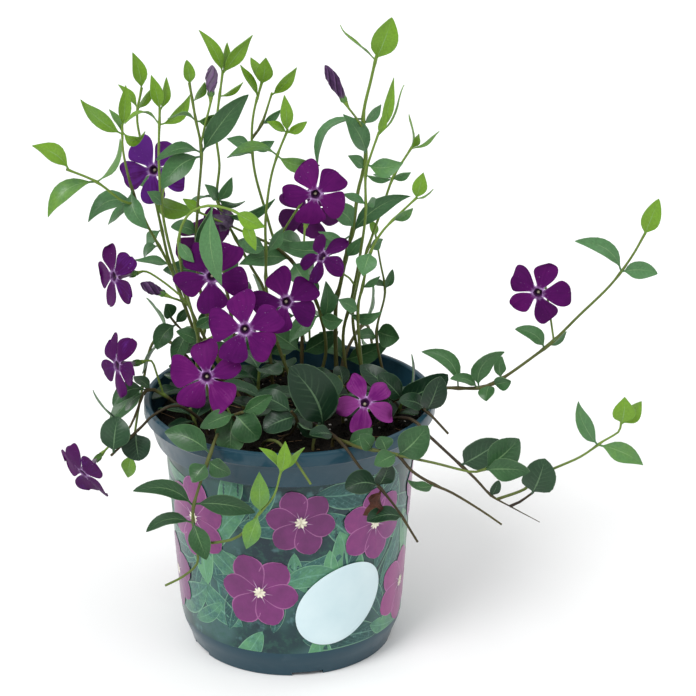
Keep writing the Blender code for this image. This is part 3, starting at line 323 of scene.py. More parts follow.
def lathe(name, sides, rings, fill="NGON", wanted=None, pointed=True):
    """A round piece, drawn on from its first ring through the others, each (radius, height) in millimetres.
    Where it is pointed, the last ring is merged. All its faces turn outwards."""
    radius, height = rings[0]
    bpy.ops.mesh.primitive_circle_add(vertices=sides, radius=radius * MM, fill_type=fill,
                                      location=(0, 0, height * MM))
    piece = bpy.context.object
    piece.name = name
    bpy.ops.object.transform_apply(location=True)
    edit(piece, wanted)
    for next_radius, next_height in rings[1:]:
        rise = (0, 0, (next_height - height) * MM)
        bpy.ops.mesh.extrude_region_move(TRANSFORM_OT_translate={"value": rise})
        growth = next_radius / radius
        bpy.ops.transform.resize(value=(growth, growth, 1), center_override=(0, 0, next_height * MM))
        radius, height = next_radius, next_height
    if pointed:
        bpy.ops.mesh.merge(type="CENTER")
    bpy.ops.mesh.select_all(action="SELECT")
    bpy.ops.mesh.normals_make_consistent(inside=False)
    bpy.ops.object.mode_set(mode="OBJECT")
    return piece


def settled(piece, material, slot, *nodes):
    """Dresses a finished piece, brings its place into its mesh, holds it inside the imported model's box,
    and ties it to the frame."""
    only(piece)
    bpy.ops.object.transform_apply(location=True, rotation=True, scale=True)
    places = np.empty(len(piece.data.vertices) * 3)
    piece.data.vertices.foreach_get("co", places)
    piece.data.vertices.foreach_set("co", np.clip(places.reshape(-1, 3), cad_low, cad_high).ravel())
    if material:
        piece.data.materials.clear()
        piece.data.materials.append(material)
    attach(piece, "root")
    if nodes:
        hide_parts(*nodes)


pot = lathe("nursery_pot", POT_SIDES, POT_RINGS, "TRIFAN",
            lambda place: place.length > BOSS_RADIUS * MM * 0.9)
cutters = []
for k in range(NOTCHES):
    turn = math.radians(FIRST_NOTCH + 360 / NOTCHES * k)
    spot = (FOOT_RADIUS * math.cos(turn) * MM, FOOT_RADIUS * math.sin(turn) * MM, 0)
    bpy.ops.mesh.primitive_cube_add(size=MM, location=spot, rotation=(0, 0, turn), scale=NOTCH_SIZE)
    cutters.append(bpy.context.object)
for k in range(DRAINS):
    turn = 2 * math.pi * (k + 0.5) / DRAINS
    spot = (DRAINS_AT * math.cos(turn) * MM, DRAINS_AT * math.sin(turn) * MM, DRAIN_RADIUS * MM)
    bpy.ops.mesh.primitive_cylinder_add(vertices=24, radius=DRAIN_RADIUS * MM, depth=DRAIN_DEPTH * MM,
                                        location=spot)
    cutters.append(bpy.context.object)
cutter = joined("openings", cutters[::-1])
modified(pot, "BOOLEAN", operation="DIFFERENCE", object=cutter)
bpy.data.objects.remove(cutter, do_unlink=True)
smooth(32)

pot_finish, tree, shader = finish("slate_blue_plastic", 0.3, **POT_GLOSS)
place = place_of(tree)
colour = ramp(tree, noise(tree, place, 40, 2), (0.3, (0.010, 0.043, 0.065)), (0.7, (0.014, 0.050, 0.074)))
wear = noise(tree, place, 7, 4, 0.6)
dust = times(tree, span(tree, wear, 0.50, 0.75), 0.22)
painted(tree, shader, masked(tree, dust, colour, (0.06, 0.10, 0.12)))
tree.links.new(span(tree, wear, 0.3, 0.7, 0.28, 0.42), shader.inputs["Roughness"])
bump(tree, shader, noise(tree, place, 22, 2), 0.12, 0.6)
settled(pot, pot_finish, "pot", "pot")


# The print on the pot's side: a dark film right round the body, with six-petalled blossoms in
# purple over teal-green leaves. Each motif is a thin film shape, laid on the cone in layers.
PRINT_LOW, PRINT_HIGH = 12.5, 90.2
FILM, FILM_EDGE, FILM_RINGS = 0.05, 0.01, 6
# Blossoms: (degrees to the right of the front, height, size).
BLOSSOMS = (
    (-112, 66, 17), (-76, 34, 16), (-50, 68, 18), (-14, 41, 17), (6, 74, 15), (44, 67, 16), (72, 30, 17),
    (90, 70, 17), (122, 42, 17), (150, 72, 16), (176, 34, 17), (205, 68, 17), (226, 30, 15),
)
FILM_LEAVES = 130
# Motifs lie one over another: how many layers of leaves, and how far apart, then blossoms and their petals.
LEAF_LAYERS, LEAF_STEP = 13, 0.012
BLOSSOM_LAYERS, BLOSSOM_STEP = 3, 0.12
PETAL_STEP = 0.016
MOTIF_THICK = 0.03


def body_radius(height):
    """The pot body's outer radius at a height."""
    if height < BODY_FOOT:
        return BODY_FOOT_RADIUS - (BODY_FOOT - height) * 0.05
    rise = (height - BODY_FOOT) / (COLLAR_FOOT - BODY_FOOT)
    return BODY_FOOT_RADIUS + (BODY_TOP_RADIUS - BODY_FOOT_RADIUS) * rise


def on_pot(round_, height, off):
    """A point over the pot's side: round_ in degrees to the right of the front, off in millimetres."""
    radius = body_radius(height) + off
    angle = math.radians(round_)
    return Vector((radius * math.sin(angle), -radius * math.cos(angle), height)) * MM


def flat_grid(name, rows, columns, along=lambda share: share):
    """A flat blade, 1 long and 2 wide, with a UV map along and across it. Along says where its rows lie."""
    bpy.ops.mesh.primitive_grid_add(x_subdivisions=rows, y_subdivisions=columns, size=2)
    shape = bpy.context.object
    shape.name = name
    for vert in shape.data.vertices:
        vert.co.x = along((vert.co.x + 1) / 2)
    uv = shape.data.uv_layers.active
    for loop in shape.data.loops:
        place = shape.data.vertices[loop.vertex_index].co
        uv.data[loop.index].uv = (place.x, place.y / 2 + 0.5)
    return shape


def film_shape(name, rows, columns, outline):
    """A flat motif. Outline gives its half width at each place along it."""
    shape = flat_grid(name, rows, columns)
    for vert in shape.data.vertices:
        vert.co.y *= outline(vert.co.x)
    return shape


def tagged(mesh, **values):
    """Writes one number for each vertex under each name, for the material to read."""
    for name, numbers in values.items():
        layer = mesh.attributes.get(name) or mesh.attributes.new(name, "FLOAT", "POINT")
        layer.data.foreach_set("value", np.zeros(len(mesh.vertices)) + numbers)


def laid_film(shape, material, round_, height, turn, long, wide, off, bow, tone):
    """A copy of a motif on the pot, from a point outwards in the way given by turn."""
    copy = copy_of(shape, material)
    ahead = math.radians(turn)
    for vert in copy.data.vertices:
        x = vert.co.x * long
        y = vert.co.y * wide + bow * long * 4 * vert.co.x * (1 - vert.co.x)
        across = x * math.cos(ahead) - y * math.sin(ahead)
        up = x * math.sin(ahead) + y * math.cos(ahead)
        level = min(max(height + up, PRINT_LOW + 0.2), PRINT_HIGH - 0.2)
        vert.co = on_pot(round_ + math.degrees(across / body_radius(height)), level, off)
    tagged(copy.data, tone=tone)
    return copy


steps = [PRINT_LOW + (PRINT_HIGH - PRINT_LOW) * k / FILM_RINGS for k in range(FILM_RINGS + 1)]
rings = [(body_radius(height) + FILM, height) for height in steps]
ends = [(body_radius(height) + FILM_EDGE, height) for height in (PRINT_LOW, PRINT_HIGH)]
film = lathe("print_ground", POT_SIDES, [ends[0], *rings, ends[1]], "NOTHING", pointed=False)
smooth(40)

ground_finish, tree, shader = finish("print_ground", 0.3, **POT_GLOSS)
place = place_of(tree)
colour = ramp(tree, noise(tree, place, 24, 2), (0.36, (0.010, 0.026, 0.036)), (0.50, (0.013, 0.044, 0.046)),
              (0.64, (0.040, 0.100, 0.100)))
fine = noise(tree, place, 3.0, 6, 0.7)
colour = masked(tree, span(tree, fine, 0.48, 0.64, 0, 0.6), colour, (0.022, 0.085, 0.062))
colour = masked(tree, span(tree, noise(tree, place, 9, 4), 0.58, 0.72, 0, 0.5), colour, (0.12, 0.26, 0.27))
painted(tree, shader, colour)
bump(tree, shader, noise(tree, place, 22, 2), 0.12, 0.6)
settled(film, ground_finish, "pot")


def motif_finish(name, deep, mid, bright, size):
    """A printed material whose tone differs from motif to motif: the material, its tree, its shader, its
    colour, and the places along a motif and off its rib."""
    made, tree, shader = finish(name, 0.3, **POT_GLOSS)
    grain = times(tree, noise(tree, place_of(tree), size, 5, 0.65), 0.7)
    tone = plus(tree, grain, times(tree, named(tree, "tone"), 0.6))
    colour = ramp(tree, tone, (0.3, deep), (0.6, mid), (0.95, bright))
    return made, tree, shader, colour, *on_blade(tree)


leaf_film, tree, shader, colour, along, off_rib = motif_finish(
    "print_leaf", (0.011, 0.050, 0.050), (0.027, 0.110, 0.095), (0.10, 0.28, 0.13), 5)
comb = side_veins(tree, along, off_rib, 10.0, 6.0)
colour = masked(tree, span(tree, comb, 0.0, 0.25, 0.15, 0), colour, (0.12, 0.28, 0.24))
flakes = noise(tree, place_of(tree), 1.6, 5, 0.7)
colour = masked(tree, span(tree, flakes, 0.52, 0.70, 0, 0.35), colour, (0.18, 0.38, 0.36))
colour = masked(tree, span(tree, off_rib, 0.0, 0.05, 0.45, 0), colour, (0.17, 0.38, 0.28))
colour = masked(tree, span(tree, off_rib, 0.43, 0.50, 0, 0.5), colour, (0.26, 0.50, 0.32))
painted(tree, shader, colour)

blossom_film, tree, shader, colour, along, off_rib = motif_finish(
    "print_blossom", (0.120, 0.020, 0.105), (0.180, 0.028, 0.150), (0.280, 0.045, 0.190), 6)
colour = masked(tree, span(tree, along, 0.05, 0.34, 0.6, 0), colour, (0.075, 0.008, 0.070))
colour = masked(tree, span(tree, off_rib, 0.44, 0.49, 0, 0.55), colour, (0.46, 0.18, 0.38))
streak = times(tree, span(tree, off_rib, 0.0, 0.03, 1, 0), span(tree, along, 0.10, 0.38, 1, 0))
painted(tree, shader, masked(tree, streak, colour, (0.76, 0.58, 0.76)))

eye_film, tree, shader, colour, _, _ = motif_finish(
    "print_eye", (0.45, 0.38, 0.30), (0.70, 0.66, 0.52), (0.85, 0.82, 0.66), 1.2)
painted(tree, shader, colour)

film_leaf = film_shape("film_leaf", 18, 2, lambda x: 2.6 * max(x, 0) ** 0.8 * max(1 - x, 0) ** 0.9 + 0.01)
film_petal = film_shape("film_petal", 10, 4, lambda x: (
    0.16 + 0.9 * math.sin(math.pi * min(x, 0.999) ** 1.5) ** 0.7 * (1 - 0.1 * x)))
draw = random.Random(11)
films = []
for number in range(FILM_LEAVES):
    round_ = 360 * number / FILM_LEAVES + draw.uniform(-3, 3)
    spot = round_, draw.uniform(16, 86), draw.uniform(0, 360)
    long = draw.uniform(18, 38)
    off = FILM + 0.02 + (number % LEAF_LAYERS) * LEAF_STEP
    films.append(laid_film(film_leaf, leaf_film, *spot, long, long * draw.uniform(0.17, 0.27), off,
                           draw.uniform(-0.12, 0.12), draw.random() ** 1.5))
for number, (round_, height, size) in enumerate(BLOSSOMS):
    first, tone = draw.uniform(0, 60), draw.random()
    off = FILM + 0.06 + LEAF_LAYERS * LEAF_STEP + (number % BLOSSOM_LAYERS) * BLOSSOM_STEP
    for k in range(6):
        long = size * draw.uniform(0.92, 1.08)
        films.append(laid_film(film_petal, blossom_film, round_, height, first + 60 * k, long, long * 0.38,
                               off + k * PETAL_STEP, 0, tone))
    for k in range(9):
        films.append(laid_film(film_petal, eye_film, round_, height, first + 40 * k, 2.6, 0.5,
                               off + 6 * PETAL_STEP, 0, draw.random()))
for shape in (film_leaf, film_petal):
    bpy.data.objects.remove(shape, do_unlink=True)
motifs = joined("print_motifs", films)
modified(motifs, "SOLIDIFY", thickness=MOTIF_THICK * MM, offset=-1)
settled(motifs, None, "pot")


# The badge: a bare pale oval of thin card-like film, tilted, low on the pot's right front.
BADGE_TURN, BADGE_HEIGHT = 25.7, 34.0
BADGE_WIDE, BADGE_TALL, BADGE_TILT = 41.0, 32.0, 40.0
BADGE_THICK, BADGE_LAYER = 0.1, 0.7
BADGE_INSETS, BADGE_INSET = 7, 2.6


def on_badge(place):
    """Lays a point of the flat badge, in millimetres, on the pot's side."""
    tilt = math.radians(BADGE_TILT)
    across = place.x * math.cos(tilt) - place.y * math.sin(tilt)
    up = place.x * math.sin(tilt) + place.y * math.cos(tilt)
    turn = BADGE_TURN + math.degrees(across / body_radius(BADGE_HEIGHT))
    return on_pot(turn, BADGE_HEIGHT + up, BADGE_LAYER + place.z)


bpy.ops.mesh.primitive_circle_add(vertices=64, radius=BADGE_WIDE / 2, fill_type="NGON")
badge = bpy.context.object
badge.name = "bare_badge"
bpy.ops.object.mode_set(mode="EDIT")
for _ in range(BADGE_INSETS):
    bpy.ops.mesh.inset(thickness=BADGE_INSET)
bpy.ops.mesh.poke()
bpy.ops.mesh.select_all(action="SELECT")
bpy.ops.transform.resize(value=(1, BADGE_TALL / BADGE_WIDE, 1))
bpy.ops.object.mode_set(mode="OBJECT")
modified(badge, "SOLIDIFY", thickness=BADGE_THICK, offset=1)
modified(badge, "BEVEL", width=0.03, segments=2)
for vert in badge.data.vertices:
    vert.co = on_badge(vert.co)
smooth(40)
badge_finish = mottled("pale_card", 0.38, (0.52, 0.67, 0.71), (0.62, 0.75, 0.78), (22, 3),
                       ((0.6, 3), 0.08, 0.1), Coat_Weight=0.2, Coat_Roughness=0.2)
settled(badge, badge_finish, "pot")


# The soil: dark moist peat with crumbs, tan root fibres and a few white grains of perlite.
SOIL_TOP = 98.0
SOIL_RADIUS = 54.9
SOIL_RINGS = 30
SOIL_FOOT_RINGS = ((41.0, 4.7), (44.6, 14.3), (49.8, 91.8), (53.5, 93.4))
CRUMBS, FIBRES, GRAINS = 420, 110, 60
STREWN_TO = 53


def soil_height(x, y):
    """The crumbly top of the soil, in millimetres."""
    wave = math.sin(x * 0.21 + 1.3) * math.cos(y * 0.17 - 0.4) + 0.6 * math.sin(x * 0.43 - y * 0.37)
    edge = max(0, (math.hypot(x, y) - 48) / 8)
    lumps = 0.9 * lumpy(Vector((x, y, 0)) * 0.35) + 0.5 * lumpy(Vector((x, y, 7)) * 0.9)
    return SOIL_TOP + 0.8 * wave * (1 - min(edge, 1)) - 0.8 * edge + lumps


def crumbly(name, roughness, dark, light, size, relief):
    """A material with patches of a size and finer relief."""
    grain = (size / 2, 6, 0.75)
    return mottled(name, roughness, dark, light, (size, 6, 0.7), (grain, 0.9, relief), 0.35, 0.65)


top_rings = [(SOIL_RADIUS * (1 - k / SOIL_RINGS), SOIL_TOP) for k in range(SOIL_RINGS)]
soil = lathe("peat_soil", POT_SIDES, [*SOIL_FOOT_RINGS, *top_rings], pointed=False)
for vert in soil.data.vertices:
    if vert.co.z > (SOIL_TOP - 1) * MM:
        vert.co.z = soil_height(vert.co.x / MM, vert.co.y / MM) * MM
bpy.ops.object.shade_smooth()

peat_finish = crumbly("peat", 0.95, (0.002, 0.002, 0.001), (0.017, 0.012, 0.008), 4, 1.2)
fibre_finish = crumbly("root_fibre", 0.8, (0.10, 0.055, 0.026), (0.30, 0.19, 0.10), 3, 0.2)
grain_finish = crumbly("perlite", 0.9, (0.50, 0.48, 0.44), (0.78, 0.77, 0.73), 1, 0.3)
soil.data.materials.append(peat_finish)

bpy.ops.mesh.primitive_ico_sphere_add(subdivisions=1, radius=MM)
crumb = bpy.context.object
bpy.ops.mesh.primitive_cylinder_add(vertices=5, radius=0.16 * MM, depth=2 * MM, rotation=(0, math.pi / 2, 0))
fibre = bpy.context.object
bpy.ops.object.transform_apply(rotation=True)
draw = random.Random(21)
bits = [soil]
for count, shape, material, least, most in (
    (CRUMBS, crumb, peat_finish, 0.5, 1.5), (FIBRES, fibre, fibre_finish, 1.5, 6.0),
    (GRAINS, crumb, grain_finish, 0.3, 0.7),
):
    for _ in range(count):
        away = STREWN_TO * math.sqrt(draw.random())
        angle = draw.uniform(0, 2 * math.pi)
        x, y = away * math.cos(angle), away * math.sin(angle)
        size = draw.uniform(least, most)
        stretch = (size, 1, 1) if shape is fibre else [size * draw.uniform(0.7, 1.2) for _ in range(3)]
        lift = 0.15 if shape is fibre else 0.1 * size
        level = Matrix.Rotation(draw.uniform(0, 6.28), 4, "Z")
        turn = level @ Matrix.Rotation(draw.uniform(-0.2, 0.2), 4, "Y")
        bit = copy_of(shape, material)
        bit.data.transform(turn @ Matrix.Diagonal((*stretch, 1)))
        bit.data.transform(Matrix.Translation(Vector((x, y, soil_height(x, y) + lift)) * MM))
        bits.append(bit)
for shape in (crumb, fibre):
    bpy.data.objects.remove(shape, do_unlink=True)
settled(joined("peat_soil", bits), None, "soil", "soil")


# The planting plan. The plant is drawn on a front sheet: an upright plane through the pot's axis,
# seen from the camera. A point on it is (across, up) in millimetres, and a third number is its
# depth, which slides the point along its line of sight. A leaf is (foot across, foot up,
# tip across, tip up, how far its tip comes forward, width, turn, bow).
SHOOTS = {
    "shoot_left_arching": dict(
        root=(-26, 22), colour="young",
        canes=[
            [(-36, 129), (-47, 162), (-56, 181), (-60, 190, 6), (-66, 192), (-76, 200), (-87, 205, -14)],
            [(-60, 190, 6), (-63, 201), (-65, 213), (-65, 223, 10)],
        ],
        leaves=[
            (-87, 205, -101, 215, 3, 9, 25, 0.08), (-76, 200, -66, 218, -4, 6, 60, 0.05),
            (-76, 200, -96, 185, 6, 9, 30, 0.14), (-60, 190, -80, 183, 8, 10, 40, 0.2),
            (-60, 190, -72, 182, -6, 7, 60, 0), (-62, 197, -56, 180, 8, 9, 15, 0.1),
            (-65, 220, -81, 234, 3, 8, 20, -0.08), (-65, 221, -56, 221, -4, 6, 45, 0.3),
            (-65, 223, -63, 240, 1, 6, 15, 0), (-65, 220, -70, 230, -5, 4, 50, 0),
            (-52, 172, -58, 168, -5, 6, 40, 0.1),
        ],
    ),
    "shoot_left_tall": dict(
        root=(-17, 36), colour="young",
        canes=[[(-34, 128), (-42, 146), (-48, 166), (-51, 182), (-55, 204), (-59, 225), (-57, 238, 26)]],
        leaves=[
            (-57, 238, -60, 253, 0, 7, 15, 0.05), (-59, 230, -52, 239, 5, 5, 40, 0),
            (-59, 230, -66, 240, -5, 5, 50, 0), (-53, 194, -37, 189, 10, 10, 15, 0.12),
            (-53, 194, -64, 202, -6, 7, 40, 0.1), (-48, 165, -62, 167, 6, 7, 50, 0),
            (-51, 180, -57, 173, -6, 6, 30, 0),
        ],
    ),
    "shoot_left_inner": dict(
        root=(-20, 8), colour="young",
        canes=[
            [(-31, 126), (-40, 146), (-46, 165), (-50, 186), (-51, 208), (-50, 230, -4)],
        ],
        leaves=[
            (-50, 229, -53, 244, 0, 6, 20, 0), (-50, 229, -47, 243, -4, 5, 45, 0),
            (-50, 224, -64, 224, 5, 6, 45, 0.25), (-50, 224, -38, 236, -5, 6, 35, 0.1),
            (-50, 190, -56, 196, 5, 6, 40, 0),
        ],
        blooms=[("bloom_behind", (-50, 190), (-53, 205, 12), (-0.25, -0.9, 0.3), 20, 0.93)],
    ),
    "shoot_centre_left": dict(
        root=(-10, -2), colour="grown",
        canes=[
            [(-26, 118), (-31, 135), (-36, 155), (-37, 172), (-36, 190), (-34, 212), (-36, 226),
             (-38, 240, -14)],
        ],
        leaves=[
            (-38, 240, -39, 250, 0, 5, 20, 0), (-37, 233, -32, 241, 4, 5, 35, 0),
            (-36, 225, -47, 226, 4, 6, 50, 0.1), (-36, 225, -25, 227, -4, 6, 35, 0),
            (-34, 212, -52, 209, 6, 7, 50, 0.1), (-34, 211, -50, 197, 8, 10, 15, 0.1),
            (-34, 212, -15, 236, 4, 10, 20, -0.06), (-37, 172, -31, 188, 6, 8, 25, 0),
            (-37, 178, -47, 181, 5, 7, 30, 0.1),
        ],
        blooms=[("bloom_left_large", (-36, 150), (-31, 160, -26), (-0.05, -1.0, 0.15), 18, 1.0)],
        buds=[("bud_top_left", (-34, 216), (-30, 233), (-29, 248, -16))],
    ),
    "shoot_forked_top": dict(
        root=(-8, 28), colour="young",
        canes=[
            [(-9, 140), (-10, 154), (-15, 164), (-21, 176), (-28, 192), (-27, 207), (-28, 222),
             (-25, 245, 12)],
        ],
        leaves=[
            (-25, 244, -34, 262, 2, 6, 25, 0.06), (-25, 245, -13, 260, 2, 7, 25, -0.05),
            (-25, 245, -23, 257, -3, 5, 40, 0), (-27, 236, -17, 241, 4, 4, 50, 0),
            (-28, 193, -40, 191, 4, 7, 60, 0.06), (-28, 193, -17, 192, -4, 7, 60, 0.06),
            (-28, 192, -33, 199, 6, 6, 30, 0), (-28, 192, -22, 202, 5, 6, 35, 0),
            (-25, 187, -5, 193, 6, 7, 45, 0.1), (-21, 176, -10, 171, 5, 8, 30, 0),
        ],
    ),
    "shoot_centre_tall": dict(
        root=(12, 32), colour="young",
        canes=[
            [(15, 128), (13, 143), (8, 156), (1, 167), (-5, 174), (-9, 188), (-13, 204), (-14, 218),
             (-13, 229), (-10, 240, 20)],
            [(-14, 218), (-10, 224), (-6, 236, 12)],
            [(1, 167), (-6, 173), (-20, 180), (-35, 187, 14)],
        ],
        leaves=[
            (-10, 240, -8, 251, 3, 8, 15, 0), (-10, 240, -14, 251, -3, 6, 40, 0),
            (-12, 235, -18, 248, 3, 5, 45, 0), (-14, 214, -24, 218, 4, 6, 35, 0),
            (-14, 214, -5, 217, 4, 6, 35, 0), (-14, 212, -24, 210, -4, 5, 55, 0),
            (-6, 236, 4, 247, 3, 6, 25, 0), (-10, 224, -2, 230, 4, 4, 35, 0),
            (1, 167, -20, 165, 10, 10, 15, 0.06), (2, 166, 8, 156, 9, 11, 5, 0),
            (13, 143, 0, 131, 8, 9, 20, 0.08), (13, 143, 22, 141, 5, 9, 25, 0.1),
            (11, 150, 5, 163, 5, 8, 15, 0), (13, 141, 15, 158, 4, 8, 20, 0.05),
            (-35, 187, -42, 193, 3, 5, 35, 0),
        ],
        blooms=[("bloom_top", (-5, 174), (11, 195, -6), (0.05, -1.0, 0.1), 40, 0.9)],
    ),
    "shoot_centre": dict(
        root=(2, 16), colour="young",
        canes=[[(-6, 135), (-9, 154), (-9, 170), (-9, 184), (-7, 200), (-4, 211), (0, 221, 2)]],
        leaves=[
            (0, 221, -1, 236, 2, 6, 15, 0), (0, 221, 8, 225, 3, 5, 35, 0),
            (0, 221, -8, 225, 3, 5, 40, 0), (-4, 211, -23, 211, 4, 6, 45, 0.14),
            (-4, 211, 13, 207, 5, 7, 25, 0.08), (-9, 172, -20, 174, 6, 8, 25, 0),
            (-9, 170, -2, 181, -6, 7, 35, 0), (-8, 150, 2, 143, -8, 8, 30, 0.1),
        ],
        blooms=[("bloom_centre", (-9, 160), (-1, 149, -14), (0.1, -1.0, 0.3), 0, 0.92)],
    ),
    "shoot_front_arch": dict(
        root=(-30, -14), colour="young",
        canes=[
            [(-35, 118), (-38, 138), (-42, 156), (-44, 175), (-40, 186), (-32, 190), (-22, 188),
             (-16, 184, -34)],
        ],
        leaves=[
            (-21, 188, -9, 181, 5, 8, 20, 0), (-17, 185, -13, 171, 3, 6, 30, 0),
            (-30, 190, -27, 156, 4, 10, 10, 0.05), (-44, 175, -38, 166, 4, 6, 30, 0),
            (-38, 138, -30, 143, 5, 7, 30, 0),
        ],
        blooms=[("bloom_middle", (-37, 130), (-18, 137, -38), (0.05, -1.0, 0.25), 12, 1.0)],
    ),
    "shoot_right_tall": dict(
        root=(19, 36), colour="young", thick=1.15,
        canes=[
            [(19, 146), (21, 157), (24, 172), (26, 180), (28, 196), (31, 210), (30, 227), (33, 242),
             (35, 251, 10)],
        ],
        leaves=[
            (35, 250, 41, 267, 2, 10, 10, 0), (35, 250, 21, 264, 2, 6, 35, -0.08),
            (31, 211, 22, 228, 6, 10, 15, 0.05), (30, 224, 37, 232, -4, 6, 35, 0),
            (30, 226, 12, 207, 4, 8, 35, 0.22), (30, 206, 24, 211, 5, 6, 35, 0),
            (26, 178, 49, 194, 5, 9, 15, -0.12), (25, 178, -8, 176, 6, 9, 25, -0.2),
            (26, 180, 15, 190, 7, 10, 20, 0.1), (25, 172, 12, 179, -3, 5, 40, 0),
            (24, 168, 30, 177, 4, 6, 20, 0), (20, 152, 15, 146, 5, 7, 25, 0),
        ],
        buds=[("bud_top_right", (30, 222), (24, 231), (15, 248, 2))],
    ),
    "shoot_right_second": dict(
        root=(24, 22), colour="young",
        canes=[
            [(22, 134), (25, 148), (27, 158), (29, 170), (31, 186), (31, 203), (33, 211), (36, 220, -2)],
        ],
        leaves=[
            (36, 220, 42, 243, 2, 5, 30, 0), (36, 220, 46, 240, -3, 5, 40, 0),
            (36, 220, 39, 230, 3, 4, 30, 0), (32, 207, 46, 208, 5, 9, 20, 0.08),
            (32, 203, 41, 201, 4, 5, 60, 0), (31, 190, 22, 195, 4, 5, 45, 0),
            (31, 190, 35, 193, -5, 5, 40, 0), (24, 145, 38, 145, 4, 6, 35, 0.15),
        ],
        blooms=[("bloom_side", (27, 156), (14, 168, -2), (-0.6, -0.5, 0.7), 30, 0.86)],
    ),
    "shoot_right_outer": dict(
        root=(31, 28), colour="young",
        canes=[[(26, 140), (28, 158), (32, 172), (38, 190), (42, 202), (49, 214, 30)]],
        leaves=[
            (49, 214, 48, 228, 2, 5, 25, 0), (49, 214, 60, 221, 2, 5, 35, 0),
            (49, 214, 52, 220, -3, 4, 30, 0), (42, 201, 49, 204, 3, 5, 35, 0),
            (42, 201, 34, 203, -4, 5, 45, 0), (32, 172, 38, 176, -4, 6, 35, 0),
        ],
    ),
    "shoot_right_low": dict(
        root=(31, 8), colour="young",
        canes=[[(28, 142), (30, 156), (33, 170), (37, 178), (42, 184), (51, 193, 2)]],
        leaves=[
            (51, 193, 54, 204, 2, 7, 15, 0), (51, 193, 58, 197, -2, 4, 45, 0),
            (42, 184, 50, 189, 4, 6, 40, 0), (33, 170, 30, 160, 9, 10, 5, 0),
            (29, 155, 37, 160, 3, 4, 40, 0), (28, 145, 20, 150, 4, 7, 30, 0),
        ],
    ),
    "shoot_right_thin": dict(
        root=(40, 24), colour="grown", thick=0.75,
        canes=[[(36, 130), (36, 139), (39, 153), (37, 166), (35, 178, 40)]],
        leaves=[
            (39, 155, 42, 163, 2, 4, 30, 0), (38, 155, 34, 158, -3, 4, 40, 0),
            (36, 136, 45, 133, 5, 11, 15, 0), (36, 133, 28, 133, 4, 8, 45, 0.1),
            (35, 178, 33, 184, 2, 4, 30, 0),
        ],
    ),
    "shoot_left_small": dict(
        root=(-34, 24), colour="grown", thick=0.75,
        canes=[[(-34, 128), (-38, 135), (-44, 137), (-48, 142, 26)]],
        leaves=[
            (-48, 142, -50, 148, 3, 7, 20, 0), (-46, 140, -42, 146, -3, 5, 35, 0),
            (-46, 139, -54, 128, 6, 9, 15, 0.12), (-41, 136, -48, 122, 5, 8, 20, 0),
            (-36, 131, -44, 127, -5, 7, 30, 0),
        ],
    ),
    "shoot_left_flowering": dict(
        root=(-36, 2), colour="grown",
        canes=[[(-38, 122), (-37, 136), (-40, 146), (-44, 152, 0)]],
        leaves=[(-37, 132, -46, 136, 4, 7, 30, 0), (-38, 138, -33, 146, -5, 7, 35, 0)],
        blooms=[("bloom_far_left", (-43, 151), (-70, 160, -6), (-0.75, -0.6, 0.1), 10, 0.92)],
        buds=[("bud_left", (-41, 147), (-48, 151), (-60, 157, -8))],
    ),
    "runner_left": dict(
        root=(-34, -16), colour="dark", thick=0.9,
        canes=[[(-46, 103, -18), (-56, 99, -21), (-61, 94), (-67, 88), (-74, 81, -44)]],
        leaves=[
            (-64, 91, -63, 78, 6, 12, 10, 0), (-74, 81, -71, 98, -6, 12, 15, -0.05),
            (-66, 89, -81, 110, -8, 4, 40, -0.12),
        ],
    ),
    "shoot_left_green": dict(
        root=(-42, -6), colour="grown",
        canes=[[(-52, 108), (-59, 110), (-63, 101), (-66, 94), (-71, 87, -10)]],
        leaves=[
            (-59, 110, -73, 103, 4, 8, 25, 0.16), (-60, 109, -68, 101, -5, 6, 35, 0),
            (-57, 110, -64, 116, -6, 6, 35, 0),
        ],
        blooms=[
            ("bloom_left_low", (-52, 108), (-70, 121, -14), (-0.8, -0.55, 0.1), 30, 0.9),
            ("bloom_lowest", (-69, 90), (-86, 73, -16), (-0.6, -0.6, -0.45), 0, 0.92),
        ],
    ),
    "shoot_rim_left": dict(
        root=(-28, -24), colour="grown",
        canes=[
            [(-31, 88, -53), (-34, 79, -61), (-38, 67), (-41, 56), (-41, 48), (-40, 38), (-40, 30), (-46, 24),
             (-53, 20, -58)],
            [(-40, 40), (-32, 40), (-22, 43), (-13, 54), (-7, 62), (-4, 73, -70)],
        ],
        leaves=[
            (-33, 81, -52, 91, -4, 11, 10, 0.08), (-35, 77, -41, 68, 5, 9, 20, 0),
            (-34, 78, -25, 72, 4, 9, 25, 0), (-41, 57, -66, 64, 4, 8, 20, 0.12),
            (-40, 58, -15, 54, 4, 9, 25, -0.1), (-41, 49, -61, 45, -3, 7, 45, 0.1),
            (-41, 50, -36, 32, 6, 9, 15, 0), (-13, 54, -13, 73, 2, 8, 10, 0),
            (-13, 53, -19, 37, 3, 8, 10, 0), (-4, 73, -2, 87, 2, 6, 15, 0),
            (-4, 73, -13, 84, -2, 4, 45, 0.1), (-4, 73, 6, 84, -2, 4, 45, -0.1),
        ],
    ),
    "stub_front": dict(
        root=(-10, -34), colour="dark", thick=0.95,
        canes=[[(-6, 87, -52), (-2, 83, -61), (2, 78), (8, 68, -72)]],
        leaves=[],
    ),
    "shoot_rim_right": dict(
        root=(8, -14), colour="dark",
        canes=[
            [(16, 91, -40), (23, 84, -57), (29, 75), (37, 66), (45, 55), (53, 41, -74)],
        ],
        leaves=[
            (14, 93, -9, 118, 12, 15, 10, 0.10), (37, 66, 23, 65, 3, 10, 30, 0.1),
            (38, 65, 45, 54, 4, 8, 30, 0.1), (37, 67, 41, 77, 3, 8, 35, 0),
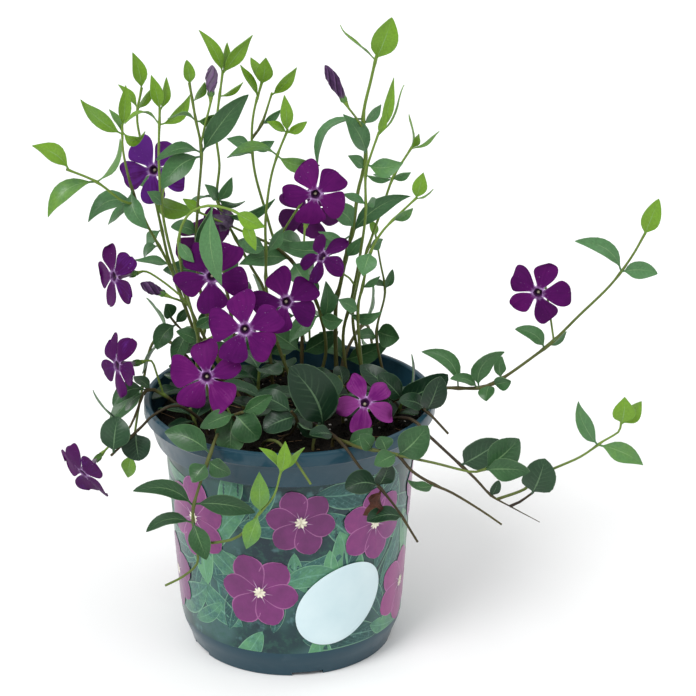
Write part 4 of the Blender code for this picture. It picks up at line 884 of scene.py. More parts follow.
            (47, 51, 32, 50, 5, 9, 40, 0.06), (18, 89, 8, 90, 5, 7, 40, 0),
        ],
    ),
    "runner_right_forked": dict(
        root=(40, -12), colour="dark",
        canes=[
            [(50, 97, -32), (57, 90, -37), (63, 84), (69, 78), (77, 70), (84, 62), (92, 57), (104, 50, -70)],
            [(87, 61), (98, 65), (103, 71), (111, 75), (121, 80), (130, 87), (136, 91), (137, 95, -74)],
            [(92, 57), (96, 59), (101, 63, -66)],
        ],
        leaves=[
            (137, 95, 138, 107, 2, 9, 15, 0), (137, 95, 145, 105, -2, 8, 30, 0),
            (127, 86, 119, 105, 3, 7, 30, -0.1), (128, 85, 147, 76, 3, 8, 20, -0.1),
            (101, 63, 109, 79, 3, 12, 10, 0), (71, 76, 81, 89, 4, 12, 15, 0),
            (84, 62, 87, 69, 2, 4, 30, 0),
        ],
    ),
    "runner_right_front": dict(
        root=(18, -30), colour="grown",
        canes=[
            [(22, 87, -46), (29, 84, -59), (40, 82), (47, 80), (60, 77), (75, 73), (81, 74, -86)],
            [(45, 80), (51, 73), (60, 67), (68, 63), (80, 55), (88, 49, -84)],
        ],
        leaves=[
            (45, 81, 57, 94, 4, 13, 10, 0.05), (44, 80, 35, 76, 5, 8, 30, 0),
            (24, 86, 34, 93, 3, 7, 25, 0.1), (34, 83, 29, 90, 4, 7, 25, 0),
            (81, 74, 95, 88, -5, 13, 15, 0), (81, 74, 100, 73, 5, 10, 20, -0.08),
            (60, 67, 49, 69, 4, 6, 45, -0.2), (40, 82, 37, 89, -4, 8, 25, 0),
        ],
    ),
    "runner_right_high": dict(
        root=(42, 8), colour="grown",
        canes=[
            [(56, 110, 5), (64, 111), (78, 111), (87, 115), (100, 125), (108, 132), (118, 143), (130, 156),
             (138, 168), (143, 178, -4)],
        ],
        leaves=[
            (143, 178, 148, 193, 2, 8, 10, 0), (134, 162, 115, 175, 4, 7, 25, 0.14),
            (134, 162, 149, 161, 4, 8, 20, -0.1), (104, 129, 92, 137, 4, 7, 20, 0.12),
            (105, 130, 113, 136, -3, 5, 50, 0), (78, 111, 88, 127, 5, 9, 25, -0.25),
            (77, 111, 66, 115, 3, 6, 35, 0.1), (69, 111, 54, 127, -6, 7, 25, 0.2),
            (82, 112, 81, 105, 6, 8, 25, 0), (84, 113, 91, 114, 5, 7, 30, 0),
            (87, 115, 87, 125, -5, 6, 35, -0.15),
        ],
        blooms=[("bloom_right", (108, 132), (101, 153, -4), (-0.25, -0.95, 0.1), 50, 0.9)],
    ),
    "stub_right": dict(
        root=(30, -2), colour="dark", thick=0.95,
        canes=[[(43, 106, -6), (51, 104, -14), (57, 100, -18), (65, 91, -26)]],
        leaves=[
            (43, 106, 65, 117, 8, 11, 10, 0.08), (56, 100, 62, 116, 6, 10, 20, 0),
            (55, 101, 45, 105, 6, 7, 25, 0.1), (44, 106, 29, 121, -6, 9, 20, 0),
            (48, 105, 50, 126, -8, 5, 30, 0), (42, 106, 37, 96, 8, 10, 20, 0),
            (46, 105, 36, 117, 4, 9, 20, 0),
        ],
        blooms=[("bloom_on_soil", (41, 107), (31, 104, -28), (0.05, -0.75, 0.65), 5, 0.9)],
    ),
    "shoot_on_soil": dict(
        root=(-18, -22), colour="grown",
        canes=[[(-22, 94, -30), (-24, 98, -38), (-20, 100, -44)]],
        leaves=[
            (-24, 98, -25, 82, 8, 12, 5, 0), (-20, 100, -5, 109, -6, 9, 30, 0),
            (-22, 99, -13, 90, 6, 12, 10, 0), (-22, 98, -40, 92, 6, 9, 25, 0),
        ],
        blooms=[("bloom_front_left", (-22, 97), (-34, 116, -36), (0.0, -1.0, 0.3), 8, 1.0)],
    ),
    "shoot_soil_dark": dict(
        root=(-2, -28), colour="dark",
        canes=[[(0, 90, -32), (3, 96, -36), (1, 100, -38)]],
        leaves=[
            (2, 98, -11, 92, 5, 11, 20, 0), (2, 96, 12, 90, 6, 10, 20, 0),
            (1, 100, -14, 108, -6, 9, 30, 0), (1, 100, 10, 106, -12, 10, 25, 0),
        ],
    ),
}

# Shoots behind, out of the front view: (root azimuth, root radius, reach, rise, fall, bloom).
BACK_SHOOTS = [
    ("shoot_back_1", 62, 44, 34, 16, -46, False),
    ("shoot_back_2", 84, 40, 26, 52, -8, True),
    ("shoot_back_3", 103, 45, 38, 14, -66, False),
    ("shoot_back_4", 124, 40, 28, 44, -12, True),
    ("shoot_back_5", 146, 45, 34, 18, -38, False),
]
BACK_LEAF, BACK_WIDTH = 21.0, 9
BACK_TURNS = (20, 90)
END_LEAF, END_WIDTH = 13, 7
BACK_BLOOM, BACK_SPIN, BACK_REACH = 0.95, 10, 4
# How far out from its stem, and how far up, a back shoot's flower may stand.
BACK_OUT, BACK_LIFTS = 20, (14, 18, 22, 10, 26, 30)

# Young shoots that have just come up, and cover the soil: (x, y, their tips' height over it).
LOW_SHOOTS = [
    ("shoot_low_1", -38, -14, 9), ("shoot_low_2", -8, -12, 12), ("shoot_low_3", 10, -32, 8),
    ("shoot_low_4", 22, -8, 12), ("shoot_low_5", 44, -6, 9), ("shoot_low_6", 24, 10, 13),
    ("shoot_low_7", -4, 42, 11), ("shoot_low_8", -44, 12, 10), ("shoot_low_9", -14, 16, 14),
]
LOW_LEAF, LOW_WIDTH = 17.0, 9.5


# Stems: round, slim, olive green at the tips and brown at the foot, a little thicker where leaves
# grow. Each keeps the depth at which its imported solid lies. Flower stalks are part of them.
CAD_STEP, FINE_STEP, STALK_STEP = 24.0, 3.0, 2.0
STEM_END = 0.8
ROOT_LOW, ROOT_HIGH = 90.3, 101.0
TUBE_LENGTH = 10.3
# How far a packed shoot, or a packed flower, may lie in front of or behind the plan.
LANES = (0, 2, -2, 4, -4, 6, -6, 8, -8, 10, -10, 13, -13)
BLOOM_NUDGES = (0, -3, 3, -6, 6, -9, 9, -12, 12, -16, 16, -20, 20)
# A packed petal's end: how far out, how far round, and how far forward.
PACKED_OUT, PACKED_ROUND, PACKED_FORWARD = 14.8, 0.7, 0.4
BUD_GAP, BUD_SHIFT = 0.3, 2.6
# How far before its end a stalk turns to the way its bud or flower faces.
BUD_REACH, BLOOM_REACH = 3, 5
SEPAL_WIDTH, BUD_SEPAL, BLOOM_SEPAL = 1.3, 3.0, 4.4
# How much thicker a stem is where a leaf grows, how far that reaches, and how slim the stems of
# the plan's shoots are against their packed ones.
SWELLING, SWELLING_REACH = 0.45, 1.8
SLIMNESS = 0.85


def on_sheet(across, up, depth):
    """The point at this depth that is seen, from EYE, at (across, up) on the front sheet."""
    flat = Vector((across, 0, up))
    return EYE + (flat - EYE) * ((depth - EYE.y) / -EYE.y)


def sheet_of(point):
    """Where a point is seen on the front sheet."""
    return EYE + (point - EYE) * (-EYE.y / (point.y - EYE.y))


def filled_depths(points):
    """Depths of a stem's points: those not given lie evenly between those that are."""
    given = [(i, p[2]) for i, p in enumerate(points) if len(p) == 3]
    depths = []
    for i in range(len(points)):
        before = max((g for g in given if g[0] <= i), default=given[0])
        after = min((g for g in given if g[0] >= i), default=given[-1])
        stretch = after[0] - before[0]
        share = (i - before[0]) / stretch if stretch else 0
        depths.append(before[1] + (after[1] - before[1]) * share)
    return depths


def smooth_path(points, step):
    """A smooth curve through the points, with a new point about every step."""
    path = []
    for i in range(len(points) - 1):
        a, b = points[i], points[i + 1]
        before = points[i - 1] if i else a * 2 - b
        after = points[i + 2] if i + 2 < len(points) else b * 2 - a
        count = max(1, round((b - a).length / step))
        for k in range(count):
            t = k / count
            path.append(0.5 * (
                2 * a + (b - before) * t + (2 * before - 5 * a + 4 * b - after) * t * t
                + (3 * a - before - 3 * b + after) * t ** 3
            ))
    return path + [points[-1]]


def lengthened(path):
    return path[:-1] + [path[-1] + (path[-1] - path[-2]).normalized() * STEM_END]


def seen_nearest(paths, seen):
    """The point of the stems that is seen nearest to a place on the front sheet."""
    seen = sheet_of(seen)
    best = None
    for path in paths:
        for a, b in zip(path, path[1:]):
            for k in range(17):
                point = a.lerp(b, k / 16)
                in_soil = point.z < SOIL_TOP + 1 and point.xy.length < BODY_TOP_RADIUS
                if in_soil or (point - path[-1]).length < STEM_END:
                    continue
                away = (sheet_of(point) - seen).length
                if best is None or away < best[0]:
                    best = (away, point)
    return best[1]


def onto(paths, place):
    """The point of the finely drawn stems nearest to a place, how far along its stem it lies, 0 to 1,
    and that stem's number."""
    best = None
    for number, path in enumerate(paths):
        for i, (a, b) in enumerate(zip(path, path[1:])):
            run = b - a
            share = min(max((place - a).dot(run) / run.length_squared, 0), 1)
            point = a + run * share
            away = (point - place).length
            if best is None or away < best[0]:
                best = (away, point, (i + share) / (len(path) - 1), number)
    return best[1:]


def stem_marks(shoot, lane):
    """The marks that each stem of a shoot passes through, at this lane's depth."""
    root_x, root_y = shoot["root"]
    marks, coarse = [], []
    for number, stem in enumerate(shoot["canes"]):
        if number == 0:
            if len(stem[0]) == 2:
                stem = [(*stem[0], root_y)] + stem[1:]
            depths = filled_depths(stem)
            points = [Vector((root_x, root_y, ROOT_LOW)), Vector((root_x, root_y, ROOT_HIGH))]
            points += [on_sheet(p[0], p[1], depth + lane) for p, depth in zip(stem, depths)]
        else:
            start = seen_nearest(coarse, on_sheet(stem[0][0], stem[0][1], 0))
            points = [start]
            for i, p in enumerate(stem[1:], 1):
                depth = start.y + (stem[-1][2] + lane - start.y) * i / (len(stem) - 1)
                points.append(on_sheet(p[0], p[1], depth))
        marks.append(points)
        coarse.append(lengthened(smooth_path(points, CAD_STEP)))
    return marks, coarse


def surface_of(node):
    """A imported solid's surface, in millimetres, to measure distances to."""
    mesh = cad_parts[node].data
    places = [vert.co / MM for vert in mesh.vertices]
    return BVHTree.FromPolygons(places, [tuple(face.vertices) for face in mesh.polygons])


def best_fit(surface, trials, marks_of):
    """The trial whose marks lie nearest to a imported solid's surface."""
    return min(trials, key=lambda trial: sum(surface.find_nearest(mark)[3] for mark in marks_of(trial)))


def flower_frame(facing, spin):
    """Three directions: across and up on a flower's face, and the way it faces."""
    facing = facing.normalized()
    across = Vector((0, 0, 1)).cross(facing)
    across = across.normalized() if across.length > 0.01 else Vector((1, 0, 0))
    across = Matrix.Rotation(math.radians(spin), 3, facing) @ across
    return across, facing.cross(across), facing


def petal_marks(centre, facing, spin, size):
    """The middles of a packed flower's five petal ends."""
    across, up, facing = flower_frame(facing, spin)
    for k in range(5):
        angle = 2 * math.pi * (k + 0.5) / 5
        spread = across * math.cos(angle) + up * math.sin(angle)
        aside = facing.cross(spread) * PACKED_ROUND
        yield centre + (spread * PACKED_OUT + aside) * size + facing * PACKED_FORWARD


def stalk_marks(start, end, facing, reach):
    before = end - facing.normalized() * reach
    return [start, (start + before) / 2 + Vector((0, 0, reach * 0.15)), before, end]


stems, flowers, furled = {}, [], []
for name, shoot in SHOOTS.items():
    surface = surface_of(name)
    marks, coarse = best_fit(
        surface, (stem_marks(shoot, lane) for lane in LANES),
        lambda trial: [point for path in trial[1] for point in path[1:]])
    thick = SLIMNESS * shoot.get("thick", 0.9)
    fine, girths, stalks = [], [], []
    for number, points in enumerate(marks):
        if number:
            points[0] = onto(fine, points[0])[0]
        path = lengthened(smooth_path(points, FINE_STEP))
        first, fall = (0.85, 0.35) if number else (1.0, 0.4)
        fine.append(path)
        girths.append([thick * (first - fall * i / (len(path) - 1)) for i in range(len(path))])
    for bloom, start, (across, up, depth), facing, spin, size in shoot.get("blooms", ()):
        facing = Vector(facing).normalized()
        centre = best_fit(
            surface_of(bloom), (on_sheet(across, up, depth + nudge) for nudge in BLOOM_NUDGES),
            lambda trial: petal_marks(trial, facing, spin, size))
        foot = onto(fine, seen_nearest(coarse, on_sheet(*start, 0)))[0]
        stalks.append((foot, centre - facing * TUBE_LENGTH, facing, BLOOM_REACH))
        flowers.append((bloom, centre, facing, spin, size))
    for bud, start, foot_at, (across, up, depth) in shoot.get("buds", ()):
        depths = [depth + nudge for nudge in BLOOM_NUDGES]
        trials = ((on_sheet(*foot_at, y), on_sheet(across, up, y)) for y in depths)
        base, tip = best_fit(surface_of(bud), trials, lambda trial: trial)
        way = (tip - base).normalized()
        base = base + way * BUD_SHIFT
        foot = onto(fine, seen_nearest(coarse, on_sheet(*start, 0)))[0]
        stalks.append((foot, base - way * BUD_GAP, way, BUD_REACH))
        furled.append((bud, base, tip))
    stems[name] = dict(coarse=coarse, fine=fine, girths=girths, surface=surface, stalks=stalks)


# Leaves: opposite pairs of smooth blades on short stalks, folded along the rib and pointed: narrow
# and fresh green up the shoots, broad, dark and glossy near the soil. One blade is modelled with
# its length and width as 1, and every leaf is a bent copy of it. Half widths: (place, narrow, broad).
LEAF_ROWS = (
    (0.00, 0.070, 0.060), (0.05, 0.075, 0.060), (0.11, 0.10, 0.09), (0.16, 0.26, 0.30), (0.22, 0.47, 0.58),
    (0.30, 0.74, 0.85), (0.40, 0.94, 0.98), (0.50, 1.00, 1.00), (0.60, 0.93, 0.98), (0.70, 0.75, 0.91),
    (0.80, 0.50, 0.77), (0.88, 0.29, 0.58), (0.95, 0.12, 0.34), (1.00, 0.00, 0.03),
)
LEAF_THICK, LEAF_FOLD, LEAF_ARCH = 0.36, 0.22, 0.10
# A packed leaf's widest place along it, its half width there, and the sizes, depths and turns it may have.
PACKED_WIDEST, PACKED_HALF = 0.72, 0.76
TRIAL_SIZES = (1.0, 0.85, 0.7)
TRIAL_DEPTHS = (0, 4, -4, 8, -8, 12, -12)
TRIAL_TURNS = (0, 25, -25, 50, -50)
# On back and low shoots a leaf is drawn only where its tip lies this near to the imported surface.
ON_SOLID = 0.02
# How young a leaf looks, 0 to 1: along most of its stem, and near the stem's tip, from FRESH_FROM on.
# Then how broad the leaves of a kind are, 0 to 1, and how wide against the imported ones.
AGES = {"young": (0.34, 1.0), "grown": (0.28, 0.80), "dark": (0.14, 0.45)}
FRESH_FROM = 0.78
BROAD = {"young": 0.1, "grown": 0.5, "dark": 1.0}
SLIM = {"young": 0.88, "grown": 0.94, "dark": 1.0}
# Leaves are coloured a lighter, yellower green the higher they grow above the height given, and darker
# below it, by this much a millimetre; they look younger in some shoots, and older the longer they are
# past LONG_LEAF.
TONE_HEIGHT, TONE_SLOPE = 140, 0.0016
AGE_SHIFTS = {"runner_right_high": 0.22, "runner_right_forked": 0.20, "shoot_rim_left": -0.05}
LONG_LEAF, LONG_AGE = 15, 0.012
# By (shoot, stem): stems whose leaves are all young, olive stems, and how thin a stem's end is.
FRESH_STEMS = {("shoot_rim_left", 1), ("runner_right_forked", 1)}
OLIVE_STEMS = {("runner_right_front", 0), ("shoot_rim_left", 0), ("stub_front", 0)}
TAPERING = {("runner_right_forked", 0): 0.22, ("runner_right_forked", 2): 0.4}
TAPER_FROM = 0.7
# Shoots whose tips are old as well, and how green stems are, at their foot and at their tip.
OLD_TIPS = {"runner_right_front", "shoot_on_soil", "shoot_left_green", "shoot_left_small"}
STEM_GREENS = {"young": (0.22, 0.95), "grown": (0.08, 0.70), "dark": (0.0, 0.15)}
FRESH_GREENS, OLIVE_GREENS, OLD_TIP_GREEN = (0.45, 0.85), (0.20, 0.60), 0.25
# A faded flower's limp petals: (foot on the sheet, tip on the sheet and how far it comes forward, width).
FADED = {"shoot_centre_tall": (((-22, 182), (-32, 183, 3), 7), ((-22, 182), (-29, 190, -2), 5),
                               ((-23, 182), (-27, 179, 2), 5))}
# By (shoot, the leaf's place in its list): the dried leaf's tip and width; how young leaves look that
# are younger than their place tells; how much further leaves turn that are seen from the edge; and
# the tips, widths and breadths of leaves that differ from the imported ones.
DRIED = {("shoot_rim_right", 2): ((41, 51, 6), 11)}
FRESH_LEAVES = {
    ("shoot_front_arch", 2): 0.52, ("shoot_left_tall", 3): 0.9, ("runner_right_high", 0): 1.0,
    ("runner_right_forked", 0): 1.0, ("runner_right_forked", 1): 1.0, ("runner_right_forked", 2): 0.62,
    ("runner_right_forked", 3): 0.72, ("runner_right_high", 1): 0.50, ("runner_right_high", 2): 0.50,
}
EDGE_ON = {
    ("shoot_right_tall", 1): 62, ("shoot_right_outer", 0): 68, ("shoot_right_outer", 1): 68,
    ("shoot_left_arching", 1): 50, ("shoot_left_inner", 2): 45, ("shoot_right_tall", 4): 30,
    ("shoot_centre_left", 2): 45, ("shoot_forked_top", 4): 30, ("shoot_right_second", 1): 45,
    ("runner_left", 2): 40, ("stub_right", 4): 45, ("shoot_right_low", 1): 45,
}
REDRAWN = {
    ("shoot_rim_right", 0): ((0, 120, 6), 17.5, 1.15), ("runner_right_forked", 4): ((106, 79, 3), 13, 1.1),
    ("runner_right_forked", 5): ((88, 87, 4), 12.5, 1.1), ("shoot_right_tall", 0): ((41, 267, 2), 10.5, 0.5),
    ("shoot_on_soil", 0): ((-25, 81, 8), 12, 1.1), ("shoot_on_soil", 2): ((-13, 88, 6), 12.5, 1.1),
}


def leaf_axes(foot, tip, turn):
    """A leaf's directions: along it, sideways as it is seen, out of its face, and across its blade.
    Its face looks up where no turn is given."""
    along = (tip - foot).normalized()
    if turn is None:
        across = Vector((0, 0, 1)).cross(along).normalized()
        return along, across, along.cross(across), across
    across = along.cross((EYE - foot).normalized()).normalized()
    normal = Matrix.Rotation(math.radians(turn), 3, along) @ across.cross(along)
    return along, across, normal, normal.cross(along)


def packed_leaf_marks(foot, tip, width, turn, bow):
    """The tip and the two widest-set edge points of a packed leaf, to find where it lies."""
    along, across, normal, side = leaf_axes(foot, tip, turn)
    length = (tip - foot).length
    hump = 4 * PACKED_WIDEST * (1 - PACKED_WIDEST) * length
    middle = foot + along * (length * PACKED_WIDEST) + (across * bow + normal * LEAF_ARCH) * hump
    half = width / 2 * PACKED_HALF
    lift = normal * (LEAF_FOLD * half)
    return tip, middle - side * half + lift, middle + side * half + lift


def leaf_trials(foot, tip_across, tip_up, forward, width, turn):
    """The sizes, depths and turns that a packed leaf may have."""
    for size in TRIAL_SIZES:
        for ahead in TRIAL_DEPTHS:
            for more in TRIAL_TURNS:
                tip = on_sheet(tip_across, tip_up, foot.y - forward - ahead)
                yield foot.lerp(tip, size), width * size, turn + more


leaf_shape = flat_grid("leaf_shape", len(LEAF_ROWS) - 1, 6,
                       lambda share: LEAF_ROWS[round(share * (len(LEAF_ROWS) - 1))][0])
modified(leaf_shape, "SOLIDIFY", thickness=LEAF_THICK, offset=0)
smooth(50)
LEAF_GRID = np.array([vert.co for vert in leaf_shape.data.vertices])
PLACES, NARROW_ROWS, BROAD_ROWS = zip(*LEAF_ROWS)
NARROW_HALF, BROAD_HALF = (
    np.interp(LEAF_GRID[:, 0], PLACES, rows)[:, None] for rows in (NARROW_ROWS, BROAD_ROWS))


def grown_leaf(kind, foot, tip, width, turn, bow, age, broad, draw, curl=0.0):
    """A copy of the leaf, bent and laid from foot to tip. Curl rolls its edges in and waves it."""
    along, across, normal, side = (np.array(way) for way in leaf_axes(foot, tip, turn))
    length = (tip - foot).length
    out, over, level = LEAF_GRID.T[:, :, None]
    hump = 4 * out * (1 - out)
    droop = draw.uniform(0.0, 0.07) + curl * 0.10
    rise = LEAF_ARCH * hump - droop * out ** 3 * (1 - out) * 8
    sway = (bow + draw.uniform(-0.02, 0.02)) * hump
    middle = np.array(foot) + (along * out + across * sway + normal * rise) * length
    tangent = along + (across * bow + normal * LEAF_ARCH) * 4 * (1 - 2 * out)
    cross = np.cross(normal, tangent)
    cross /= np.linalg.norm(cross, axis=1)[:, None]
    face = np.cross(tangent, cross)
    face /= np.linalg.norm(face, axis=1)[:, None]
    twist = (draw.uniform(-0.35, 0.35) + curl * 1.2) * out ** 1.5
    cross, face = cross * np.cos(twist) + face * np.sin(twist), face * np.cos(twist) - cross * np.sin(twist)
    half = width / 2 * (NARROW_HALF * (1 - broad) + BROAD_HALF * broad)
    wave_size = (0.10 + 0.35 * curl) * half * abs(over) * np.minimum(1, 3 * out)
    wave = wave_size * np.sin(2 * math.pi * (1.3 + curl) * out + draw.uniform(0, 6.28) + 1.7 * np.sign(over))
    fold = (LEAF_FOLD + curl * 0.7) * half * abs(over) ** 1.4
    stout = 1 + np.clip(1 - out / 0.15, 0, 1)
    places = middle + cross * over * half * (1 - 0.35 * curl) + face * (fold + wave + level * stout)
    leaf = copy_of(leaf_shape, leaf_finishes[kind], places)
    tagged(leaf.data, age=age, under=LEAF_GRID[:, 2] < 0)
    return leaf


def group(name, inputs, outputs):
    """An empty shader node group with named sockets: (tree, its inputs, its output node)."""
    made = bpy.data.node_groups.new(name, "ShaderNodeTree")
    for way, sockets in (("INPUT", inputs), ("OUTPUT", outputs)):
        for socket, kind in sockets.items():
            made.interface.new_socket(socket, in_out=way, socket_type="NodeSocket" + kind)
    return made, made.nodes.new("NodeGroupInput").outputs, made.nodes.new("NodeGroupOutput")


# The blade's pattern, for every leaf material: faint side veins, a thin pale rib and margin,
# mottling, darker and bluer when old, with a pale underside.
tree, given, result = group(
    "leaf_blade",
    {"Old": "Color", "Middle": "Color", "Young": "Color", "Vein": "Color", "Vein Strength": "Float"},
    {"Color": "Color", "Roughness": "Float", "Height": "Float"},
)
blade = tree
along, off_rib = on_blade(tree)
mottle = noise(tree, place_of(tree), 9, 4, 0.6)
speck = noise(tree, place_of(tree), 0.9, 3, 0.6)
age = plus(tree, named(tree, "age"), times(tree, sums(tree, "SUBTRACT", mottle, 0.5), 0.45))
older = masked(tree, span(tree, age, 0.0, 0.5), given["Old"], given["Middle"])
colour = masked(tree, span(tree, age, 0.58, 1.02), older, given["Young"])
comb = side_veins(tree, along, off_rib, 9.0, 5.0)
veins = times(tree, span(tree, comb, 0.0, 0.20, 1, 0), span(tree, off_rib, 0.06, 0.42, 0.18, 0.0))
on_rib = sums(tree, "LESS_THAN", off_rib, span(tree, along, 0.1, 1.0, 0.030, 0.008))
rib = times(tree, on_rib, span(tree, along, 0.5, 0.98, 1.0, 0.3))
margin = span(tree, off_rib, 0.468, 0.492, 0.0, 0.5)
pale = sums(tree, "MAXIMUM", sums(tree, "MAXIMUM", veins, rib), margin)
colour = masked(tree, times(tree, pale, given["Vein Strength"]), colour, given["Vein"])
colour = masked(tree, times(tree, named(tree, "under"), 0.5), colour, (0.12, 0.22, 0.10))
light = span(tree, speck, 0.3, 0.7, 0.90, 1.08)
shade = add(tree, "ShaderNodeHueSaturation", {"Color": colour, "Value": light}).outputs[0]
gloss = plus(tree, span(tree, mottle, 0.35, 0.7, 0.30, 0.42), times(tree, named(tree, "under"), 0.22))
dent = times(tree, sums(tree, "MAXIMUM", times(tree, veins, 2.0), rib), -1.0)
height = plus(tree, dent, times(tree, speck, 0.25))
for socket, value in (("Color", shade), ("Roughness", gloss), ("Height", height)):
    tree.links.new(value, result.inputs[socket])

LEAF_COLOURS = {
    "young": ((0.036, 0.102, 0.038), (0.074, 0.185, 0.070), (0.138, 0.280, 0.018), (0.23, 0.38, 0.16), 0.42),
    "grown": ((0.018, 0.057, 0.021), (0.046, 0.128, 0.042), (0.122, 0.255, 0.020), (0.20, 0.34, 0.15), 0.42),
    "dark": ((0.008, 0.028, 0.013), (0.020, 0.058, 0.025), (0.045, 0.125, 0.028), (0.18, 0.31, 0.16), 0.45),
}
leaf_finishes = {
    "dried": mottled("dried_leaf", 0.8, (0.022, 0.009, 0.007), (0.130, 0.050, 0.032), (4, 5, 0.7),
                     ((1.2, 5), 0.9, 0.5)),
    "faded": mottled("faded_petal", 0.8, (0.045, 0.022, 0.060), (0.150, 0.110, 0.170), (3, 5, 0.7),
                     ((1.0, 5), 0.8, 0.3)),
}
for kind, (*colours, strength) in LEAF_COLOURS.items():
    leaf_finishes[kind], tree, shader = finish(kind + "_leaf", 0.36, Coat_Weight=0.15, Coat_Roughness=0.25)
    pattern = add(tree, "ShaderNodeGroup", node_tree=blade)
    for socket, value in zip(("Old", "Middle", "Young", "Vein"), colours):
        pattern.inputs[socket].default_value = (*value, 1)
    pattern.inputs["Vein Strength"].default_value = strength
    painted(tree, shader, pattern.outputs["Color"])
    tree.links.new(pattern.outputs["Roughness"], shader.inputs["Roughness"])
    bump(tree, shader, pattern.outputs["Height"], 0.6, 0.22)

stem_finish, tree, shader = finish("stem_bark", 0.5)
ripe = plus(tree, named(tree, "age"), times(tree, noise(tree, place_of(tree), 4, 3), 0.3))
painted(tree, shader, ramp(
    tree, ripe, (0.15, (0.026, 0.017, 0.012)), (0.38, (0.065, 0.052, 0.018)), (0.65, (0.090, 0.120, 0.028)),
    (1.0, (0.155, 0.250, 0.040))))
bump(tree, shader, noise(tree, place_of(tree), 0.8, 3), 0.4, 0.15)


def stem_piece(name, runs):
    """Round stems along the runs, each (path, girths, age at its foot, age at its tip), as one mesh."""
    curve = bpy.data.curves.new(name, "CURVE")
    curve.dimensions = "3D"
    curve.bevel_depth = MM
    curve.bevel_resolution = 2
    curve.use_fill_caps = True
    marks = kdtree.KDTree(sum(len(path) for path, *_ in runs))
    ages = []
    for path, girths, low, high in runs:
        spline = curve.splines.new("POLY")
        spline.points.add(len(path) - 1)
        for i, (point, girth) in enumerate(zip(path, girths)):
            spline.points[i].co = (*(point * MM), 1)
            spline.points[i].radius = girth
            marks.insert(point * MM, len(ages))
            ages.append(low + (high - low) * i / (len(path) - 1))
    marks.balance()
    piece = bpy.data.objects.new(name, curve)
    bpy.context.collection.objects.link(piece)
    only(piece)
    bpy.ops.object.convert(target="MESH")
    piece = bpy.context.object
    smooth(50)
    piece.data.materials.append(stem_finish)
    tagged(piece.data, age=[ages[marks.find(vert.co)[1]] for vert in piece.data.vertices])
    return piece


def swollen(paths, girths, feet):
    """Stems are thicker where leaves and stalks grow from them."""
    for path, girth in zip(paths, girths):
        for i, point in enumerate(path):
            near = min(((point - foot).length for foot in feet), default=99)
            girth[i] *= 1 + SWELLING * math.exp(-((near / SWELLING_REACH) ** 2))


def stalk_run(foot, end, facing, reach):
    """A flower's stalk, widest where the flower sits on it."""
    path = smooth_path(stalk_marks(foot, end, facing, reach), STALK_STEP)
    girths = [0.45 + 0.6 * max(0, 1 - (end - point).length / 2.5) for point in path]
    return path, girths, 0.7, 0.9


def sepals(kind, end, facing, long, draw):
    """Five narrow pointed green sepals round the foot of a flower."""
    across, up, facing = flower_frame(facing, draw.uniform(0, 72))
    made = []
    for k in range(5):
        angle = 2 * math.pi * k / 5
        spread = across * math.cos(angle) + up * math.sin(angle)
        foot = end + spread * 0.5 - facing * 0.4
        tip = foot + facing * long + spread * 0.8
        made.append(grown_leaf(kind, foot, tip, SEPAL_WIDTH, 0, 0, 0.75, 0, draw))
    return made


def foliage(name, kind, runs, leaves, stalks, draw):
    """A shoot's stems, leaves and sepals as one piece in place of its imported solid. The sepals
    of buds are short."""
    parts = [stem_piece(name + "_stems", runs + [stalk_run(*stalk) for stalk in stalks]), *leaves]
    for _, end, facing, reach in stalks:
        parts += sepals(kind, end, facing, BUD_SEPAL if reach == BUD_REACH else BLOOM_SEPAL, draw)
    settled(joined(name + "_foliage", parts), None, kind + "_leaf", name)


def age_at(kind, share, draw):
    """A leaf's age from where on its stem it grows, 0 to 1."""
    low, high = AGES[kind]
    tip = max(0, (share - FRESH_FROM) / (1 - FRESH_FROM))
    return low + (high - low) * tip * tip * (3 - 2 * tip) + draw.uniform(-0.10, 0.10)


